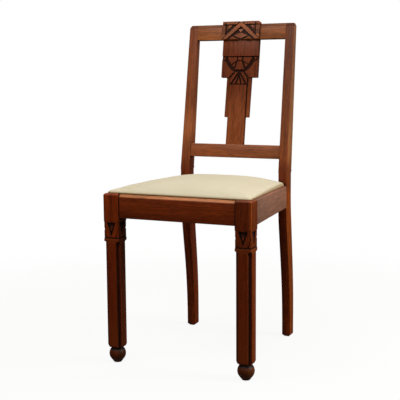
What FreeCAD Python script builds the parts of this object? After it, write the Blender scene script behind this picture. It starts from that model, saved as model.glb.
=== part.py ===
import FreeCAD, Part
import math
import os

from FreeCAD import Placement, Rotation, Vector

# Oak side chair with a raked back, carved crest and splat, and a drop-in upholstered seat.
# Millimetres. x to the right as seen from the front, y to the back, z up from the floor. Left and
# right in names are as seen from the front too.
# While building, y is counted from the front face of the front legs. At the end the whole chair
# is moved so that the origin is on the floor, in the middle of the chair's box.

# Overall sizes
front_width = 418.0  # over the outer faces of the front legs
rear_width = 333.6  # over the rear posts at the seat
top_width = 326.4  # over the rear posts at their tops
seat_depth = 381.6  # front face of the front legs to the front of the rear posts
seat_height = 461.0  # floor to the top of the seat rails
back_length = 427.4  # rear post from its bend to its top, along the rake
rake_angle = 9.23  # degrees, back frame from upright

# Fits
tenon_gap = 0.1  # all round a tenon in its mortise
tenon_end_gap = 1.0  # glue space past the end of a tenon
seat_clearance = 1.5  # drop-in seat to the lip around it
rest_gap = 0.2  # underside of the drop-in seat to its ledge
screw_gap = 0.1  # round a screw in its hole
lining_gap = 0.3  # stuffing to the cover around it
cut_margin = 5.0  # how far a cutter reaches past what it cuts
root_depth = 1.0  # how far a carved piece goes into the ground that carries it
arc_share = 0.95  # most of a side that its two corner arcs may take

# Front legs
block_width = 44.0
block_length = 76.3
block_top_edge = 6.5
block_foot_edge = 1.2
collar_width = 42.0
collar_height = 42.7
band_height = 10.0
band_edge = 3.0
shaft_width = 40.4
shaft_notch = 9.0
shaft_end_run = 7.5
shaft_end_rise = 7.0
shaft_bottom = 47.0  # floor to the lower end of the shaft
ball_radius = 22.4
ball_middle = 23.5
ball_sole_radius = 8.5
ball_sole_rise = 4.5  # floor to where the round of the ball starts
neck_radius = 12.5

# Carving on the leg collars
collar_cut = 3.6
collar_cut_slope = 1.2
collar_vee_half = 13.5
collar_vee_top = 1.2  # collar top to the wide end of the sunk triangle
collar_vee_point = 3.0  # collar bottom to its point
collar_drop_half = 7.0
collar_drop_length = 20.0
collar_drop_start = 5.0  # collar top to the wide end of the small raised triangle
collar_drop_edge = 2.7  # face to the wide end of that triangle
collar_drop_tip = 0.54  # face to its tip
corner_groove_depth = 2.2
corner_groove_slope = 0.7
corner_groove_width = 3.2
corner_spear_base = 6.8  # leg corner to the groove, at the collar's bottom
corner_spear_height = 28.0

# Rear posts
post_thickness = 25.0
post_depth = 38.5
post_top_depth = 18.3
bend_rise = 28.0  # seat rails' top to the bend
bend_radius = 90.0
bend_back_radius = 260.0
foot_setback = 38.4  # rear foot's front behind the post's front at the seat
foot_depth = 28.6
foot_spread = 0.2  # rear foot's outer face beyond the post's at the seat
front_sweep_drop = 100.0  # seat rails' top to the upper turn of the sweep, front edge
front_sweep_low = 125.0
front_sweep_radius = 380.0
back_sweep_drop = 61.0
back_sweep_low = 145.0
back_sweep_radius = 530.0
low_sweep_radius = 1300.0
foot_edge = 6.0

# Seat rails
rail_height = 65.0
rail_thickness = 25.0
rail_setback = 3.5  # behind the leg faces
rear_rail_thickness = 24.0
front_rail_bevel = 8.5
side_rail_bevel = 4.0
side_lip = 9.5
front_lip = 10.0
ledge_drop = 20.0  # seat rails' top to the ledge that carries the seat
leg_tenon_length = 20.0
post_tenon_length = 16.0
rail_tenon_thickness = 9.0
rail_tenon_shoulder = 8.0  # above and below the tenon
rear_tenon_thickness = 6.0
rear_tenon_length = 15.0
ledge_cover = 6.0  # wood left between the ledge and a tenon's top

# Corner blocks
brace_reach = 62.0
brace_height = 26.0
brace_drop = 2.0  # below the ledge
screw_radius = 2.2
screw_head_radius = 4.2
screw_head_height = 2.4
screw_length = 36.0
screw_in_rail = 15.0
screw_bay = 22.0  # corner to a screw, along the rail
screw_spread = 9.4  # the two screws of a block pass at different heights

# Crest rail and cross rail
crest_height = 43.4
crest_thickness = 18.0
crest_bevel_drop = 7.0
crest_bevel_run = 6.0
post_corner_drop = 5.0
post_corner_run = 3.5
back_tenon_length = 16.0
back_tenon_thickness = 7.0
back_tenon_shoulder = 7.0
cross_rail_bottom = 41.0  # from the bend, along the rake
cross_rail_height = 36.7
cross_rail_thickness = 20.0
cross_rail_setback = 3.0

# Carved crest block
crest_block_width = 114.0
crest_block_rise = 10.1  # above the crest rail
crest_block_proud = 6.0
crest_block_housing = 5.0
crest_block_round = 3.0
crest_floor = 5.0  # depth of the carved ground
chevron_foot = 13.0
chevron_crown = 14.8
crest_frame = 9.0
crest_groove = 2.4
corner_square_sunk = 0.6  # below the block's face, like the next ones
corner_step_sunk = 2.5
relief_slope = 0.5

# Facets under the chevron: (x, z) corners in percent of the block's half width and height, with the
# depth of each corner below the block's face. Those of one side are drawn and mirrored
crest_drop = ((-14.0, 55.0, 2.2), (14.0, 55.0, 2.2), (0.0, 40.5, 0.6))
crest_side_facets = (
    ((-37.7, 23.4, 3.4), (-0.5, 36.4, 0.5), (-0.5, 3.0, 0.5)),
    ((-64.0, 0.6, 1.6), (-20.2, 0.6, 1.6), (-46.5, 16.8, 0.6)),
)

# Splat
splat_width = 110.0
splat_setback = 4.0
splat_thickness = 14.0
splat_plain_height = 48.7
splat_field_height = 60.3
splat_field_floor = 3.8
splat_neck_width = 75.0
splat_neck_length = 116.0
splat_panel_width = 53.0
splat_strip_setback = 4.6
skirt_height = 21.3  # carved pleats below the wide part
splat_tenon_length = 12.0
splat_tenon_thickness = 6.0
splat_tenon_inset = 10.0
cheek_sunk = 0.8  # below the board's face
cheek_line_depth = 1.6

# Carved pieces of the field: depth below the board's face, then (x, drop) corners in percent of the
# board's half width and of the field's height. Those of one side are drawn and mirrored
field_side_pieces = (
    (0.9, ((-70.0, 5.3), (-17.5, 5.3), (-16.7, 20.9), (-47.3, 39.8))),
    (1.2, ((-96.4, 5.3), (-79.1, 5.3), (-84.5, 22.4))),
    (1.8, ((-22.2, 28.5), (-44.7, 44.1), (-30.9, 54.7))),
)
field_middle_pieces = (
    (1.2, ((-13.1, 5.3), (13.1, 5.3), (10.2, 20.2), (-10.2, 20.2))),
    (0.2, ((-12.0, 24.9), (12.0, 24.9), (26.5, 65.7), (-26.5, 65.7))),
)
cheek_arc = ((-100.0, 15.8), (-73.8, 53.7), (-31.3, 75.6))
cheek_sole = ((-57.3, 100.0), (-100.0, 100.0))
cheek_line = ((-90.2, 44.8), (-87.3, 44.8), (-86.2, 100.0), (-89.1, 100.0))

# Pleats in percent of the panel's half width, and of the drop from their spring to their foot
pleat_spring = 76.6  # percent of the field's height
pleat_foot_rise = 1.0  # their foot above the skirt's bottom
side_pleats = (
    (0.7, ((-41.5, 0.0), (-12.8, 0.0), (-74.0, 100.0), (-98.9, 100.0), (-98.9, 50.6))),
    (1.0, ((-7.5, 14.0), (-27.2, 100.0), (-54.3, 100.0))),
)
middle_pleat = (1.0, ((0.0, 34.3), (-16.6, 100.0), (16.6, 100.0)))

# Drop-in seat
seat_corner_radius = 9.0
seat_wood_thickness = 18.0
seat_wood_width = 46.0
seat_tenon_length = 14.0
seat_tenon_thickness = 7.0
seat_tenon_width = 26.0
cover_thickness = 1.2
cover_turn_under = 26.0
webbing_width = 48.0
webbing_thickness = 1.5
webbing_weave_gap = 0.1
webbing_hold = 24.0  # webbing on top of the seat wood at each end
webbing_count = 3
hessian_thickness = 0.8
hessian_inset = 7.0
pad_over_front = 1.5  # roll of the pad past the seat's walls
pad_over_side = 3.5
pad_over_rear = -1.5
pad_roll_start = 0.6  # clear of the lip and of the seat wood, where the pad starts to roll out
pad_roll_height = 2.0
roll_rise = 5.0
roll_reach = 6.0
crown_rise = 22.0
crown_flat = 16.0  # half width of the flat left on top
crown_power = 3.0
crown_rings = 13
crown_ring_power = 2.5  # rings lie closer at the rim
crown_corner_growth = 0.3
tack_head_radius = 3.2
tack_head_height = 0.7
tack_shank_radius = 0.9
tack_length = 9.0
tack_inset = 19.0
tacks_per_side = 6

# Levels and lines worked out from the sizes above
bend_height = seat_height + bend_rise
rail_bottom = seat_height - rail_height
ledge_height = seat_height - ledge_drop
block_bottom = seat_height - block_length
collar_bottom = block_bottom - collar_height
band_bottom = collar_bottom - band_height
leg_inner = front_width / 2 - block_width
leg_middle = front_width / 2 - block_width / 2
rail_front_x = front_width / 2 - rail_setback
rail_rear_x = rear_width / 2
rail_slope = (rail_front_x - rail_rear_x) / (seat_depth - block_width)
rail_turn = math.atan(rail_slope)
crest_bottom = back_length - crest_height
splat_field_top = crest_bottom - splat_plain_height
splat_field_bottom = splat_field_top - splat_field_height
splat_neck_bottom = splat_field_bottom - splat_neck_length
skirt_bottom = splat_field_bottom - skirt_height
cross_rail_top = cross_rail_bottom + cross_rail_height
far = 1000.0


# Shared helpers
def box(x, y, z):
    low = Vector(min(x), min(y), min(z))
    return Part.makeBox(max(x) - min(x), max(y) - min(y), max(z) - min(z), low)


def polygon(points):
    corners = [Vector(*p) for p in points]
    return Part.makePolygon(corners + corners[:1])


def upright(points, y_front, y_back):
    """Plate of an outline seen from the front, given as (x, z) points."""
    face = Part.Face(polygon([(x, y_front, z) for x, z in points]))
    return face.extrude(Vector(0, y_back - y_front, 0))


def level(points, z_low, z_high):
    """Plate of an outline seen from above, given as (x, y) points."""
    face = Part.Face(polygon([(x, y, z_low) for x, y in points]))
    return face.extrude(Vector(0, 0, z_high - z_low))


def profile(points, x_low, x_high):
    """Bar of an outline seen from the side, given as (y, z) points."""
    face = Part.Face(polygon([(x_low, y, z) for y, z in points]))
    return face.extrude(Vector(x_high - x_low, 0, 0))


def inset(points, amount):
    """The outline moved inwards by amount on every side."""
    count = len(points)
    turn = 0
    for i in range(count):
        turn += points[i - 1][0] * points[i][1] - points[i][0] * points[i - 1][1]
    side = 1 if turn > 0 else -1
    lines = []
    for i in range(count):
        (ax, az), (bx, bz) = points[i], points[(i + 1) % count]
        length = math.hypot(bx - ax, bz - az)
        ux, uz = (bx - ax) / length, (bz - az) / length
        lines.append((ax - side * uz * amount, az + side * ux * amount, ux, uz))
    moved = []
    for i in range(count):
        px, pz, pu, pw = lines[i - 1]
        qx, qz, qu, qw = lines[i]
        cross = pu * qw - pw * qu
        along = ((qx - px) * qw - (qz - pz) * qu) / cross
        moved.append((px + pu * along, pz + pw * along))
    return moved


def walled(low_ring, high_ring):
    """Solid with flat sides between two rings of the same number of corners."""
    faces = [Part.Face(Part.makePolygon(ring + ring[:1])) for ring in (low_ring, high_ring)]
    count = len(low_ring)
    for i in range(count):
        j = (i + 1) % count
        side = [low_ring[i], low_ring[j], high_ring[j], high_ring[i]]
        faces.append(Part.Face(Part.makePolygon(side + side[:1])))
    solid = Part.Solid(Part.Shell(faces))
    if solid.Volume < 0:
        solid.reverse()
    return solid


def sloped(points, y_wide, y_narrow, slope):
    """Plate with sloping sides: the outline at y_wide, drawn in by slope at y_narrow."""
    wide = [Vector(x, y_wide, z) for x, z in points]
    narrow = [Vector(x, y_narrow, z) for x, z in inset(points, slope)]
    return walled(wide, narrow)


def facet(points, y_back, y_fronts):
    """Three-cornered piece whose front slopes from corner to corner."""
    back = [Vector(x, y_back, z) for x, z in points]
    front = [Vector(x, y, z) for (x, z), y in zip(points, y_fronts)]
    return walled(back, front)


def rounded(corners, lift):
    """Closed wire through (u, v, radius) corners, with arcs limited by the sides they join."""
    count = len(corners)
    points = [Vector(u, v, 0) for u, v, radius in corners]
    ways = []
    reach = []
    for i in range(count):
        before = (points[i - 1] - points[i]).normalize()
        after = (points[(i + 1) % count] - points[i]).normalize()
        half_turn = (math.pi - before.getAngle(after)) / 2
        ways.append((before, after, half_turn))
        reach.append(corners[i][2] * math.tan(half_turn))
    share = []
    for i in range(count):
        side = (points[(i + 1) % count] - points[i]).Length
        wanted = reach[i] + reach[(i + 1) % count]
        share.append(1.0 if wanted < arc_share * side else arc_share * side / wanted)
    stops = []
    for i in range(count):
        before, after, half_turn = ways[i]
        length = reach[i] * min(share[i - 1], share[i])
        middle = points[i]
        if length > 0:
            to_middle = length / math.sin(half_turn) - length / math.tan(half_turn)
            middle = points[i] + (before + after).normalize() * to_middle
        stops.append((points[i] + before * length, middle, points[i] + after * length, length))
    edges = []
    for i in range(count):
        start, middle, end, length = stops[i]
        if length > 0:
            edges.append(Part.Arc(lift(start), lift(middle), lift(end)).toShape())
        edges.append(Part.makeLine(lift(end), lift(stops[(i + 1) % count][0])))
    return Part.Wire(edges)


def joined(pieces):
    """One solid of overlapping pieces, added one after another."""
    whole = pieces[0]
    for piece in pieces[1:]:
        whole = whole.fuse(piece)
    return whole.removeSplitter()


def mirrored(shape):
    return shape.mirror(Vector(0, 0, 0), Vector(1, 0, 0))


def raked(shape):
    """A back piece drawn upright from the bend is turned to the rake and set on the posts."""
    turned = shape.copy()
    turn = Rotation(Vector(1, 0, 0), -rake_angle)
    turned.Placement = Placement(Vector(0, seat_depth, bend_height), turn)
    return turned


def grown(x, y, z, gap):
    """Box of a tenon, larger by gap on all sides."""
    return box((min(x) - gap, max(x) + gap), (min(y) - gap, max(y) + gap), (min(z) - gap, max(z) + gap))


# Plan of the drop-in seat: its walls stand inside the lip of the rails
def seat_side_x(y):
    outer = rail_front_x - rail_slope * (y - block_width)
    return outer - side_lip / math.cos(rail_turn)


def seat_plan(front_in, side_in, rear_in, radius, z):
    """Rounded outline of the seat well, drawn in by the given amounts."""
    front_y = rail_setback + front_lip + front_in
    rear_y = seat_depth - rear_in
    front_x = seat_side_x(front_y) - side_in
    rear_x = seat_side_x(rear_y) - side_in
    corners = [
        (front_x, front_y, radius),
        (rear_x, rear_y, radius),
        (-rear_x, rear_y, radius),
        (-front_x, front_y, radius),
    ]
    return rounded(corners, lambda p: Vector(p.x, p.y, z))


def seat_prism(amount, z_low, z_high, radius=seat_corner_radius):
    wire = seat_plan(amount, amount, amount, radius, z_low)
    return Part.Face(wire).extrude(Vector(0, 0, z_high - z_low))


seat_well = seat_prism(0.0, ledge_height, seat_height + far, seat_corner_radius - seat_clearance)


# Back posts and what is cut in them
def post_front_view():
    """Outline of the right rear post seen from the front."""
    foot_x = rear_width / 2 + foot_spread
    seat_x = rear_width / 2
    top_z = bend_height + back_length * math.cos(math.radians(rake_angle))
    lean = (rear_width - top_width) / 2 / (top_z - bend_height)
    peak = top_z + far
    peak_x = seat_x - lean * (peak - bend_height)
    outer = [(foot_x, -cut_margin), (seat_x, bend_height), (peak_x, peak)]
    inner = [(x - post_thickness, z) for x, z in reversed(outer)]
    return upright(outer + inner, -far, far)


def back_half_width(z_bottom, z_top):
    """Middle of the back to the posts' outer faces, halfway up a rail."""
    share = (z_bottom + z_top) / 2 / back_length
    return (rear_width + (top_width - rear_width) * share) / 2


def back_tenons(y_front, z_bottom, z_top, gap, end_gap):
    """Pair of tenons on a back rail, drawn upright from the bend."""
    reach = back_half_width(z_bottom, z_top) - post_thickness + back_tenon_length + end_gap
    y = (y_front, y_front + back_tenon_thickness)
    z = (z_bottom + back_tenon_shoulder, z_top - back_tenon_shoulder)
    return grown((-reach, reach), y, z, gap)


crest_tenon_front = (crest_thickness - back_tenon_thickness) / 2
cross_tenon_front = cross_rail_setback + (cross_rail_thickness - back_tenon_thickness) / 2
rear_tenon_back = seat_depth + rear_rail_thickness
rail_tenon_z = (rail_bottom + rail_tenon_shoulder, ledge_height - ledge_cover)


def rear_rail_tenons(gap, end_gap):
    reach = rear_width / 2 - post_thickness + rear_tenon_length + end_gap
    y = (rear_tenon_back - rear_tenon_thickness, rear_tenon_back)
    return grown((-reach, reach), y, rail_tenon_z, gap)


def side_rail_tenons(gap, end_gap):
    """Tenon bar along the middle of the right side rail, into the leg and the post."""
    front_y = block_width - leg_tenon_length - end_gap
    rear_y = seat_depth + post_tenon_length + end_gap
    half = rail_tenon_thickness / 2 / math.cos(rail_turn) + gap
    middle = rail_thickness / 2 / math.cos(rail_turn)

    def line(y):
        return rail_front_x - rail_slope * (y - block_width) - middle

    plan = [
        (line(front_y) - half, front_y),
        (line(front_y) + half, front_y),
        (line(rear_y) + half, rear_y),
        (line(rear_y) - half, rear_y),
    ]
    return level(plan, rail_tenon_z[0] - gap, rail_tenon_z[1] + gap)


def front_rail_tenons(gap, end_gap):
    reach = leg_inner + leg_tenon_length + end_gap
    middle = rail_setback + rail_thickness / 2
    y = (middle - rail_tenon_thickness / 2, middle + rail_tenon_thickness / 2)
    return grown((-reach, reach), y, rail_tenon_z, gap)


def top_bevel():
    """Wedge that takes off the front top edge of the back frame, drawn upright from the bend."""
    line = [
        (-crest_bevel_run, back_length - 2 * crest_bevel_drop),
        (2 * crest_bevel_run, back_length + crest_bevel_drop),
        (-crest_bevel_run, back_length + crest_bevel_drop),
    ]
    return profile(line, -far, far)


def rear_post():
    front_y = seat_depth
    back_y = seat_depth + post_depth
    foot_y = seat_depth + foot_setback
    rake = math.radians(rake_angle)
    top_y = front_y + back_length * math.sin(rake)
    top_z = bend_height + back_length * math.cos(rake)
    side = [
        (foot_y, 0, 0),
        (foot_y + foot_depth, 0, 0),
        (foot_y + foot_depth, back_sweep_low, low_sweep_radius),
        (back_y, seat_height - back_sweep_drop, back_sweep_radius),
        (back_y, bend_height, bend_back_radius),
        (top_y + post_top_depth * math.cos(rake), top_z - post_top_depth * math.sin(rake), 0),
        (top_y, top_z, 0),
        (front_y, bend_height, bend_radius),
        (front_y, seat_height - front_sweep_drop, front_sweep_radius),
        (foot_y, front_sweep_low, low_sweep_radius),
    ]
    wire = rounded(side, lambda p: Vector(0, p.x, p.y))
    post = Part.Face(wire).extrude(Vector(rear_width, 0, 0)).common(post_front_view())
    sole = [e for e in post.Edges if e.BoundBox.ZMax < 0.01]
    post = post.makeChamfer(foot_edge, sole)
    outer_top = top_width / 2
    corner = [
        (outer_top - 2 * post_corner_run, back_length + post_corner_drop),
        (outer_top + 2 * post_corner_run, back_length - 3 * post_corner_drop),
        (outer_top + 2 * post_corner_run, back_length + post_corner_drop),
    ]
    post = post.cut(raked(top_bevel()))
    post = post.cut(raked(upright(corner, -far, far)))
    crest_mortise = back_tenons(crest_tenon_front, crest_bottom, back_length, tenon_gap, tenon_end_gap)
    post = post.cut(raked(crest_mortise))
    cross_mortise = back_tenons(
        cross_tenon_front, cross_rail_bottom, cross_rail_top, tenon_gap, tenon_end_gap
    )
    post = post.cut(raked(cross_mortise))
    post = post.cut(rear_rail_tenons(tenon_gap, tenon_end_gap))
    return post.cut(side_rail_tenons(tenon_gap, tenon_end_gap))


post_views = [post_front_view(), mirrored(post_front_view())]


# Front legs: square block, carved collar, band, notched shaft and ball foot, in one piece
def collar_face_cuts():
    """What is cut from the front face of a collar, drawn round the leg's middle line."""
    face_y = -collar_width / 2
    above = face_y - root_depth
    floor_y = face_y + collar_cut
    vee = [
        (-collar_vee_half, block_bottom - collar_vee_top),
        (collar_vee_half, block_bottom - collar_vee_top),
        (0, collar_bottom + collar_vee_point),
    ]
    rise = root_depth * collar_cut_slope / collar_cut
    sunk = sloped(inset(vee, -rise), above, floor_y, collar_cut_slope + rise)
    drop_top = block_bottom - collar_drop_start
    drop = [
        (-collar_drop_half, drop_top),
        (collar_drop_half, drop_top),
        (0, drop_top - collar_drop_length),
    ]
    drop_edge = face_y + collar_drop_edge
    drop_tip = face_y + collar_drop_tip
    sunk = sunk.cut(facet(drop, floor_y + root_depth, (drop_edge, drop_edge, drop_tip)))
    cuts = [sunk]
    half = collar_width / 2
    spear = collar_bottom + corner_spear_height
    for way in (-1, 1):
        groove = [
            (way * (half + root_depth), spear + corner_groove_width),
            (way * (half + root_depth), spear - corner_groove_width),
            (way * (half - corner_spear_base), collar_bottom),
            (way * (half - corner_spear_base - corner_groove_width), collar_bottom),
        ]
        cuts.append(sloped(groove, above, face_y + corner_groove_depth, corner_groove_slope))
    return cuts


def ball_foot():
    """Turned ball on a small flat sole, with a neck that goes up into the shaft."""
    drop = ball_middle - ball_sole_rise
    low = Vector(math.sqrt(ball_radius**2 - drop**2), 0, ball_sole_rise)
    widest = Vector(ball_radius, 0, ball_middle)
    high = Vector(neck_radius, 0, ball_middle + math.sqrt(ball_radius**2 - neck_radius**2))
    centre = Vector(0, 0, 0)
    sole = Vector(ball_sole_radius, 0, 0)
    neck = Vector(neck_radius, 0, shaft_bottom + cut_margin)
    top = Vector(0, 0, shaft_bottom + cut_margin)
    outline = [Part.Arc(low, widest, high).toShape()]
    for start, end in ((high, neck), (neck, top), (top, centre), (centre, sole), (sole, low)):
        outline.append(Part.makeLine(start, end))
    return Part.Face(Part.Wire(outline)).revolve(centre, Vector(0, 0, 1), 360)


def leg_shaft():
    half = shaft_width / 2
    inner = half - shaft_notch
    plan = [(half, inner), (inner, inner), (inner, half)]
    cross = []
    for quarter in range(4):
        for x, y in plan:
            cross.append((x, y))
        plan = [(-y, x) for x, y in plan]
    shaft = level(cross, shaft_bottom, band_bottom + cut_margin)
    small = half - shaft_end_run
    rings = []
    for size, z in ((small, shaft_bottom), (half, shaft_bottom + shaft_end_rise)):
        rings.append([Vector(x * size, y * size, z) for x, y in ((1, 1), (-1, 1), (-1, -1), (1, -1))])
    taper = walled(*rings)
    upper = box((-half, half), (-half, half), (shaft_bottom + shaft_end_rise, band_bottom + cut_margin))
    return shaft.common(taper.fuse(upper))


def square_bar(width, z_low, z_high):
    half = width / 2
    return box((-half, half), (-half, half), (z_low, z_high))


def edges_at(shape, z):
    found = []
    for edge in shape.Edges:
        if abs(edge.BoundBox.ZMin - z) < 0.01 and abs(edge.BoundBox.ZMax - z) < 0.01:
            found.append(edge)
    return found


def front_leg():
    """Right front leg, drawn round the z axis and then moved to its corner."""
    block = square_bar(block_width, block_bottom, seat_height)
    block = block.makeFillet(block_top_edge, edges_at(block, seat_height))
    block = block.makeChamfer(block_foot_edge, edges_at(block, block_bottom))
    collar = square_bar(collar_width, collar_bottom - cut_margin, block_bottom + cut_margin)
    for quarter in range(4):
        for cutter in collar_face_cuts():
            turned = cutter.copy()
            turned.rotate(Vector(0, 0, 0), Vector(0, 0, 1), 90 * quarter)
            collar = collar.cut(turned)
    band = square_bar(block_width, band_bottom, collar_bottom)
    band = band.makeChamfer(band_edge, edges_at(band, band_bottom))
    leg = joined([block, collar, band, leg_shaft(), ball_foot()])
    leg.translate(Vector(leg_middle, block_width / 2, 0))
    leg = leg.cut(seat_well)
    leg = leg.cut(front_rail_tenons(tenon_gap, tenon_end_gap))
    return leg.cut(side_rail_tenons(tenon_gap, tenon_end_gap))


# Seat rails, with a ledge for the drop-in seat
def front_rail():
    y = (rail_setback, rail_setback + rail_thickness)
    rail = box((-leg_inner, leg_inner), y, (rail_bottom, seat_height))
    bevel = [
        (rail_setback - cut_margin, seat_height - front_rail_bevel - cut_margin),
        (rail_setback + front_rail_bevel + cut_margin, seat_height + cut_margin),
        (rail_setback - cut_margin, seat_height + cut_margin),
    ]
    rail = rail.cut(profile(bevel, -far, far)).cut(seat_well)
    return rail.fuse(front_rail_tenons(0, 0)).removeSplitter()


def side_inner_x(y):
    return rail_front_x - rail_slope * (y - block_width) - rail_thickness / math.cos(rail_turn)


def side_rail():
    plan = [
        (rail_front_x, block_width),
        (rail_rear_x, seat_depth),
        (side_inner_x(seat_depth), seat_depth),
        (side_inner_x(block_width), block_width),
    ]
    rail = level(plan, rail_bottom, seat_height)
    run = side_rail_bevel + cut_margin
    edge = [
        (rail_front_x + cut_margin, block_width, seat_height - run),
        (rail_front_x - run, block_width, seat_height + cut_margin),
        (rail_front_x + cut_margin, block_width, seat_height + cut_margin),
    ]
    along = Vector(rail_rear_x - rail_front_x, seat_depth - block_width, 0)
    rail = rail.cut(Part.Face(polygon(edge)).extrude(along)).cut(seat_well)
    return rail.fuse(side_rail_tenons(0, 0)).removeSplitter()


def rear_rail():
    reach = rear_width / 2 - post_thickness / 2
    y = (seat_depth, seat_depth + rear_rail_thickness)
    rail = box((-reach, reach), y, (rail_bottom, seat_height))
    for view in post_views:
        rail = rail.cut(view)
    return rail.fuse(rear_rail_tenons(0, 0)).removeSplitter()


# Corner blocks glued and screwed inside the seat rails
brace_top = ledge_height - brace_drop
front_inner_y = rail_setback + rail_thickness


def front_brace_plan():
    """Right front block, notched round the corner of the leg."""
    far_y = block_width + brace_reach
    return [
        (leg_inner, front_inner_y),
        (leg_inner - brace_reach, front_inner_y),
        (side_inner_x(far_y), far_y),
        (side_inner_x(block_width), block_width),
        (leg_inner, block_width),
    ]


def rear_brace_plan():
    corner_x = side_inner_x(seat_depth)
    near_y = seat_depth - brace_reach
    return [
        (corner_x, seat_depth),
        (side_inner_x(near_y), near_y),
        (corner_x - brace_reach, seat_depth),
    ]


def screw(grow):
    """Screw along +y with its point at the origin, larger by grow for its hole."""
    ahead = Vector(0, 1, 0)
    head_y = -screw_length - screw_head_height
    wide = screw_head_radius + grow
    narrow = screw_radius + grow
    shank = Part.makeCylinder(narrow, screw_length + grow, Vector(0, -screw_length, 0), ahead)
    head = Part.makeCone(wide, narrow, screw_head_height, Vector(0, head_y, 0), ahead)
    if grow:
        bore = 2 * screw_length
        head = head.fuse(Part.makeCylinder(wide, bore, Vector(0, head_y - bore, 0), ahead))
    return shank.fuse(head)


def screw_places():
    """Turn and point of each screw in the two right-hand blocks."""
    middle_z = brace_top - brace_height / 2
    high = middle_z + screw_spread / 2
    low = middle_z - screw_spread / 2
    side_turn = math.degrees(rail_turn)
    step = screw_bay
    front_side_y = block_width + step
    rear_side_y = seat_depth - step
    deep = screw_in_rail / math.cos(rail_turn)
    return [
        (180.0, Vector(leg_inner - step, front_inner_y - screw_in_rail, high)),
        (-90.0 + side_turn, Vector(side_inner_x(front_side_y) + deep, front_side_y, low)),
        (0.0, Vector(side_inner_x(seat_depth) - step, seat_depth + screw_in_rail, high)),
        (-90.0 + side_turn, Vector(side_inner_x(rear_side_y) + deep, rear_side_y, low)),
    ]


def screws(grow):
    made = []
    for turn, point in screw_places():
        one = screw(grow)
        one.rotate(Vector(0, 0, 0), Vector(0, 0, 1), turn)
        one.translate(point)
        made += [one, mirrored(one)]
    return made


# Back rails
def crest_rail():
    reach = back_half_width(crest_bottom, back_length) - post_thickness / 2
    rail = box((-reach, reach), (0, crest_thickness), (crest_bottom, back_length)).cut(top_bevel())
    half = crest_block_width / 2
    rail = rail.cut(box((-half, half), (-cut_margin, crest_block_housing), (0, far)))
    rail = raked(rail)
    for view in post_views:
        rail = rail.cut(view)
    rail = rail.fuse(raked(back_tenons(crest_tenon_front, crest_bottom, back_length, 0, 0)))
    mortise = splat_tenon(crest_bottom, 1, splat_width, tenon_gap, tenon_end_gap)
    return rail.cut(raked(mortise)).removeSplitter()


def cross_rail():
    reach = back_half_width(cross_rail_bottom, cross_rail_top) - post_thickness / 2
    y = (cross_rail_setback, cross_rail_setback + cross_rail_thickness)
    rail = box((-reach, reach), y, (cross_rail_bottom, cross_rail_top))
    rail = raked(rail)
    for view in post_views:
        rail = rail.cut(view)
    rail = rail.fuse(raked(back_tenons(cross_tenon_front, cross_rail_bottom, cross_rail_top, 0, 0)))
    mortise = splat_tenon(cross_rail_top, -1, splat_panel_width, tenon_gap, tenon_end_gap)
    return rail.cut(raked(mortise)).removeSplitter()


def both_sides(points):
    """An outline and its mirror image left to right."""
    return [points, [(-p[0],) + tuple(p[1:]) for p in reversed(points)]]


# Crest block: a proud chevron over sunk triangles, framed by short bars
def crest_block():
    half = crest_block_width / 2
    low = crest_bottom
    high = back_length + crest_block_rise
    tall = high - low
    ground = -crest_block_proud + crest_floor
    root = ground + root_depth
    front = -crest_block_proud
    frame = crest_frame
    groove = crest_groove

    def at(points):
        return [(x, low + z) for x, z in points]

    parts = [box((-half, half), (ground, crest_block_housing), (low, high))]
    chevron = [
        (-half, 0),
        (-half + chevron_foot, 0),
        (0, tall - chevron_crown),
        (half - chevron_foot, 0),
        (half, 0),
        (0, tall),
    ]
    islands = [(chevron, front)]
    lean = tall / half
    corner = [(-half, tall - frame), (-half + frame, tall - frame), (-half + frame, tall), (-half, tall)]
    bar_end = -half + frame + groove
    top_bar = [
        (bar_end, tall - frame),
        (-frame / lean - 1.5 * groove, tall - frame),
        (-1.5 * groove, tall),
        (bar_end, tall),
    ]
    side_bar = [
        (-half, 1.5 * groove),
        (-half + frame, frame * lean + 1.5 * groove),
        (-half + frame, tall - frame - groove),
        (-half, tall - frame - groove),
    ]
    step_near = -half + frame + groove
    step_far = step_near + 2 * frame
    step_top = tall - frame - groove
    step = [(step_near, step_top - 2 * frame), (step_far, step_top), (step_near, step_top)]
    framed = ((corner, corner_square_sunk), (top_bar, 0), (side_bar, 0), (step, corner_step_sunk))
    for outline, depth in framed:
        for side in both_sides(outline):
            islands.append((side, front + depth))
    for outline, y in islands:
        parts.append(sloped(at(outline), root, y, relief_slope))
    facets = [crest_drop]
    for side in crest_side_facets:
        facets += both_sides(side)
    for corners in facets:
        outline = [(x * half / 100, z * tall / 100) for x, z, sunk in corners]
        parts.append(facet(at(outline), root, [front + sunk for x, z, sunk in corners]))
    parts.append(box((-half, half), (ground, crest_thickness), (back_length, high)))
    block = joined(parts)
    corners = [
        (-half, low, 0),
        (half, low, 0),
        (half, high, crest_block_round),
        (-half, high, crest_block_round),
    ]
    edge = Part.Face(rounded(corners, lambda p: Vector(p.x, -far, p.y))).extrude(Vector(0, 2 * far, 0))
    return raked(block.common(edge))


# Splat: stepped board with a carved fountain over radiating pleats
def splat_tenon(edge, way, width, gap, end_gap):
    half = width / 2 - splat_tenon_inset
    front = splat_setback + (splat_thickness - splat_tenon_thickness) / 2
    z = (edge - way * cut_margin, edge + way * (splat_tenon_length + end_gap))
    return grown((-half, half), (front, front + splat_tenon_thickness), z, gap)


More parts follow.
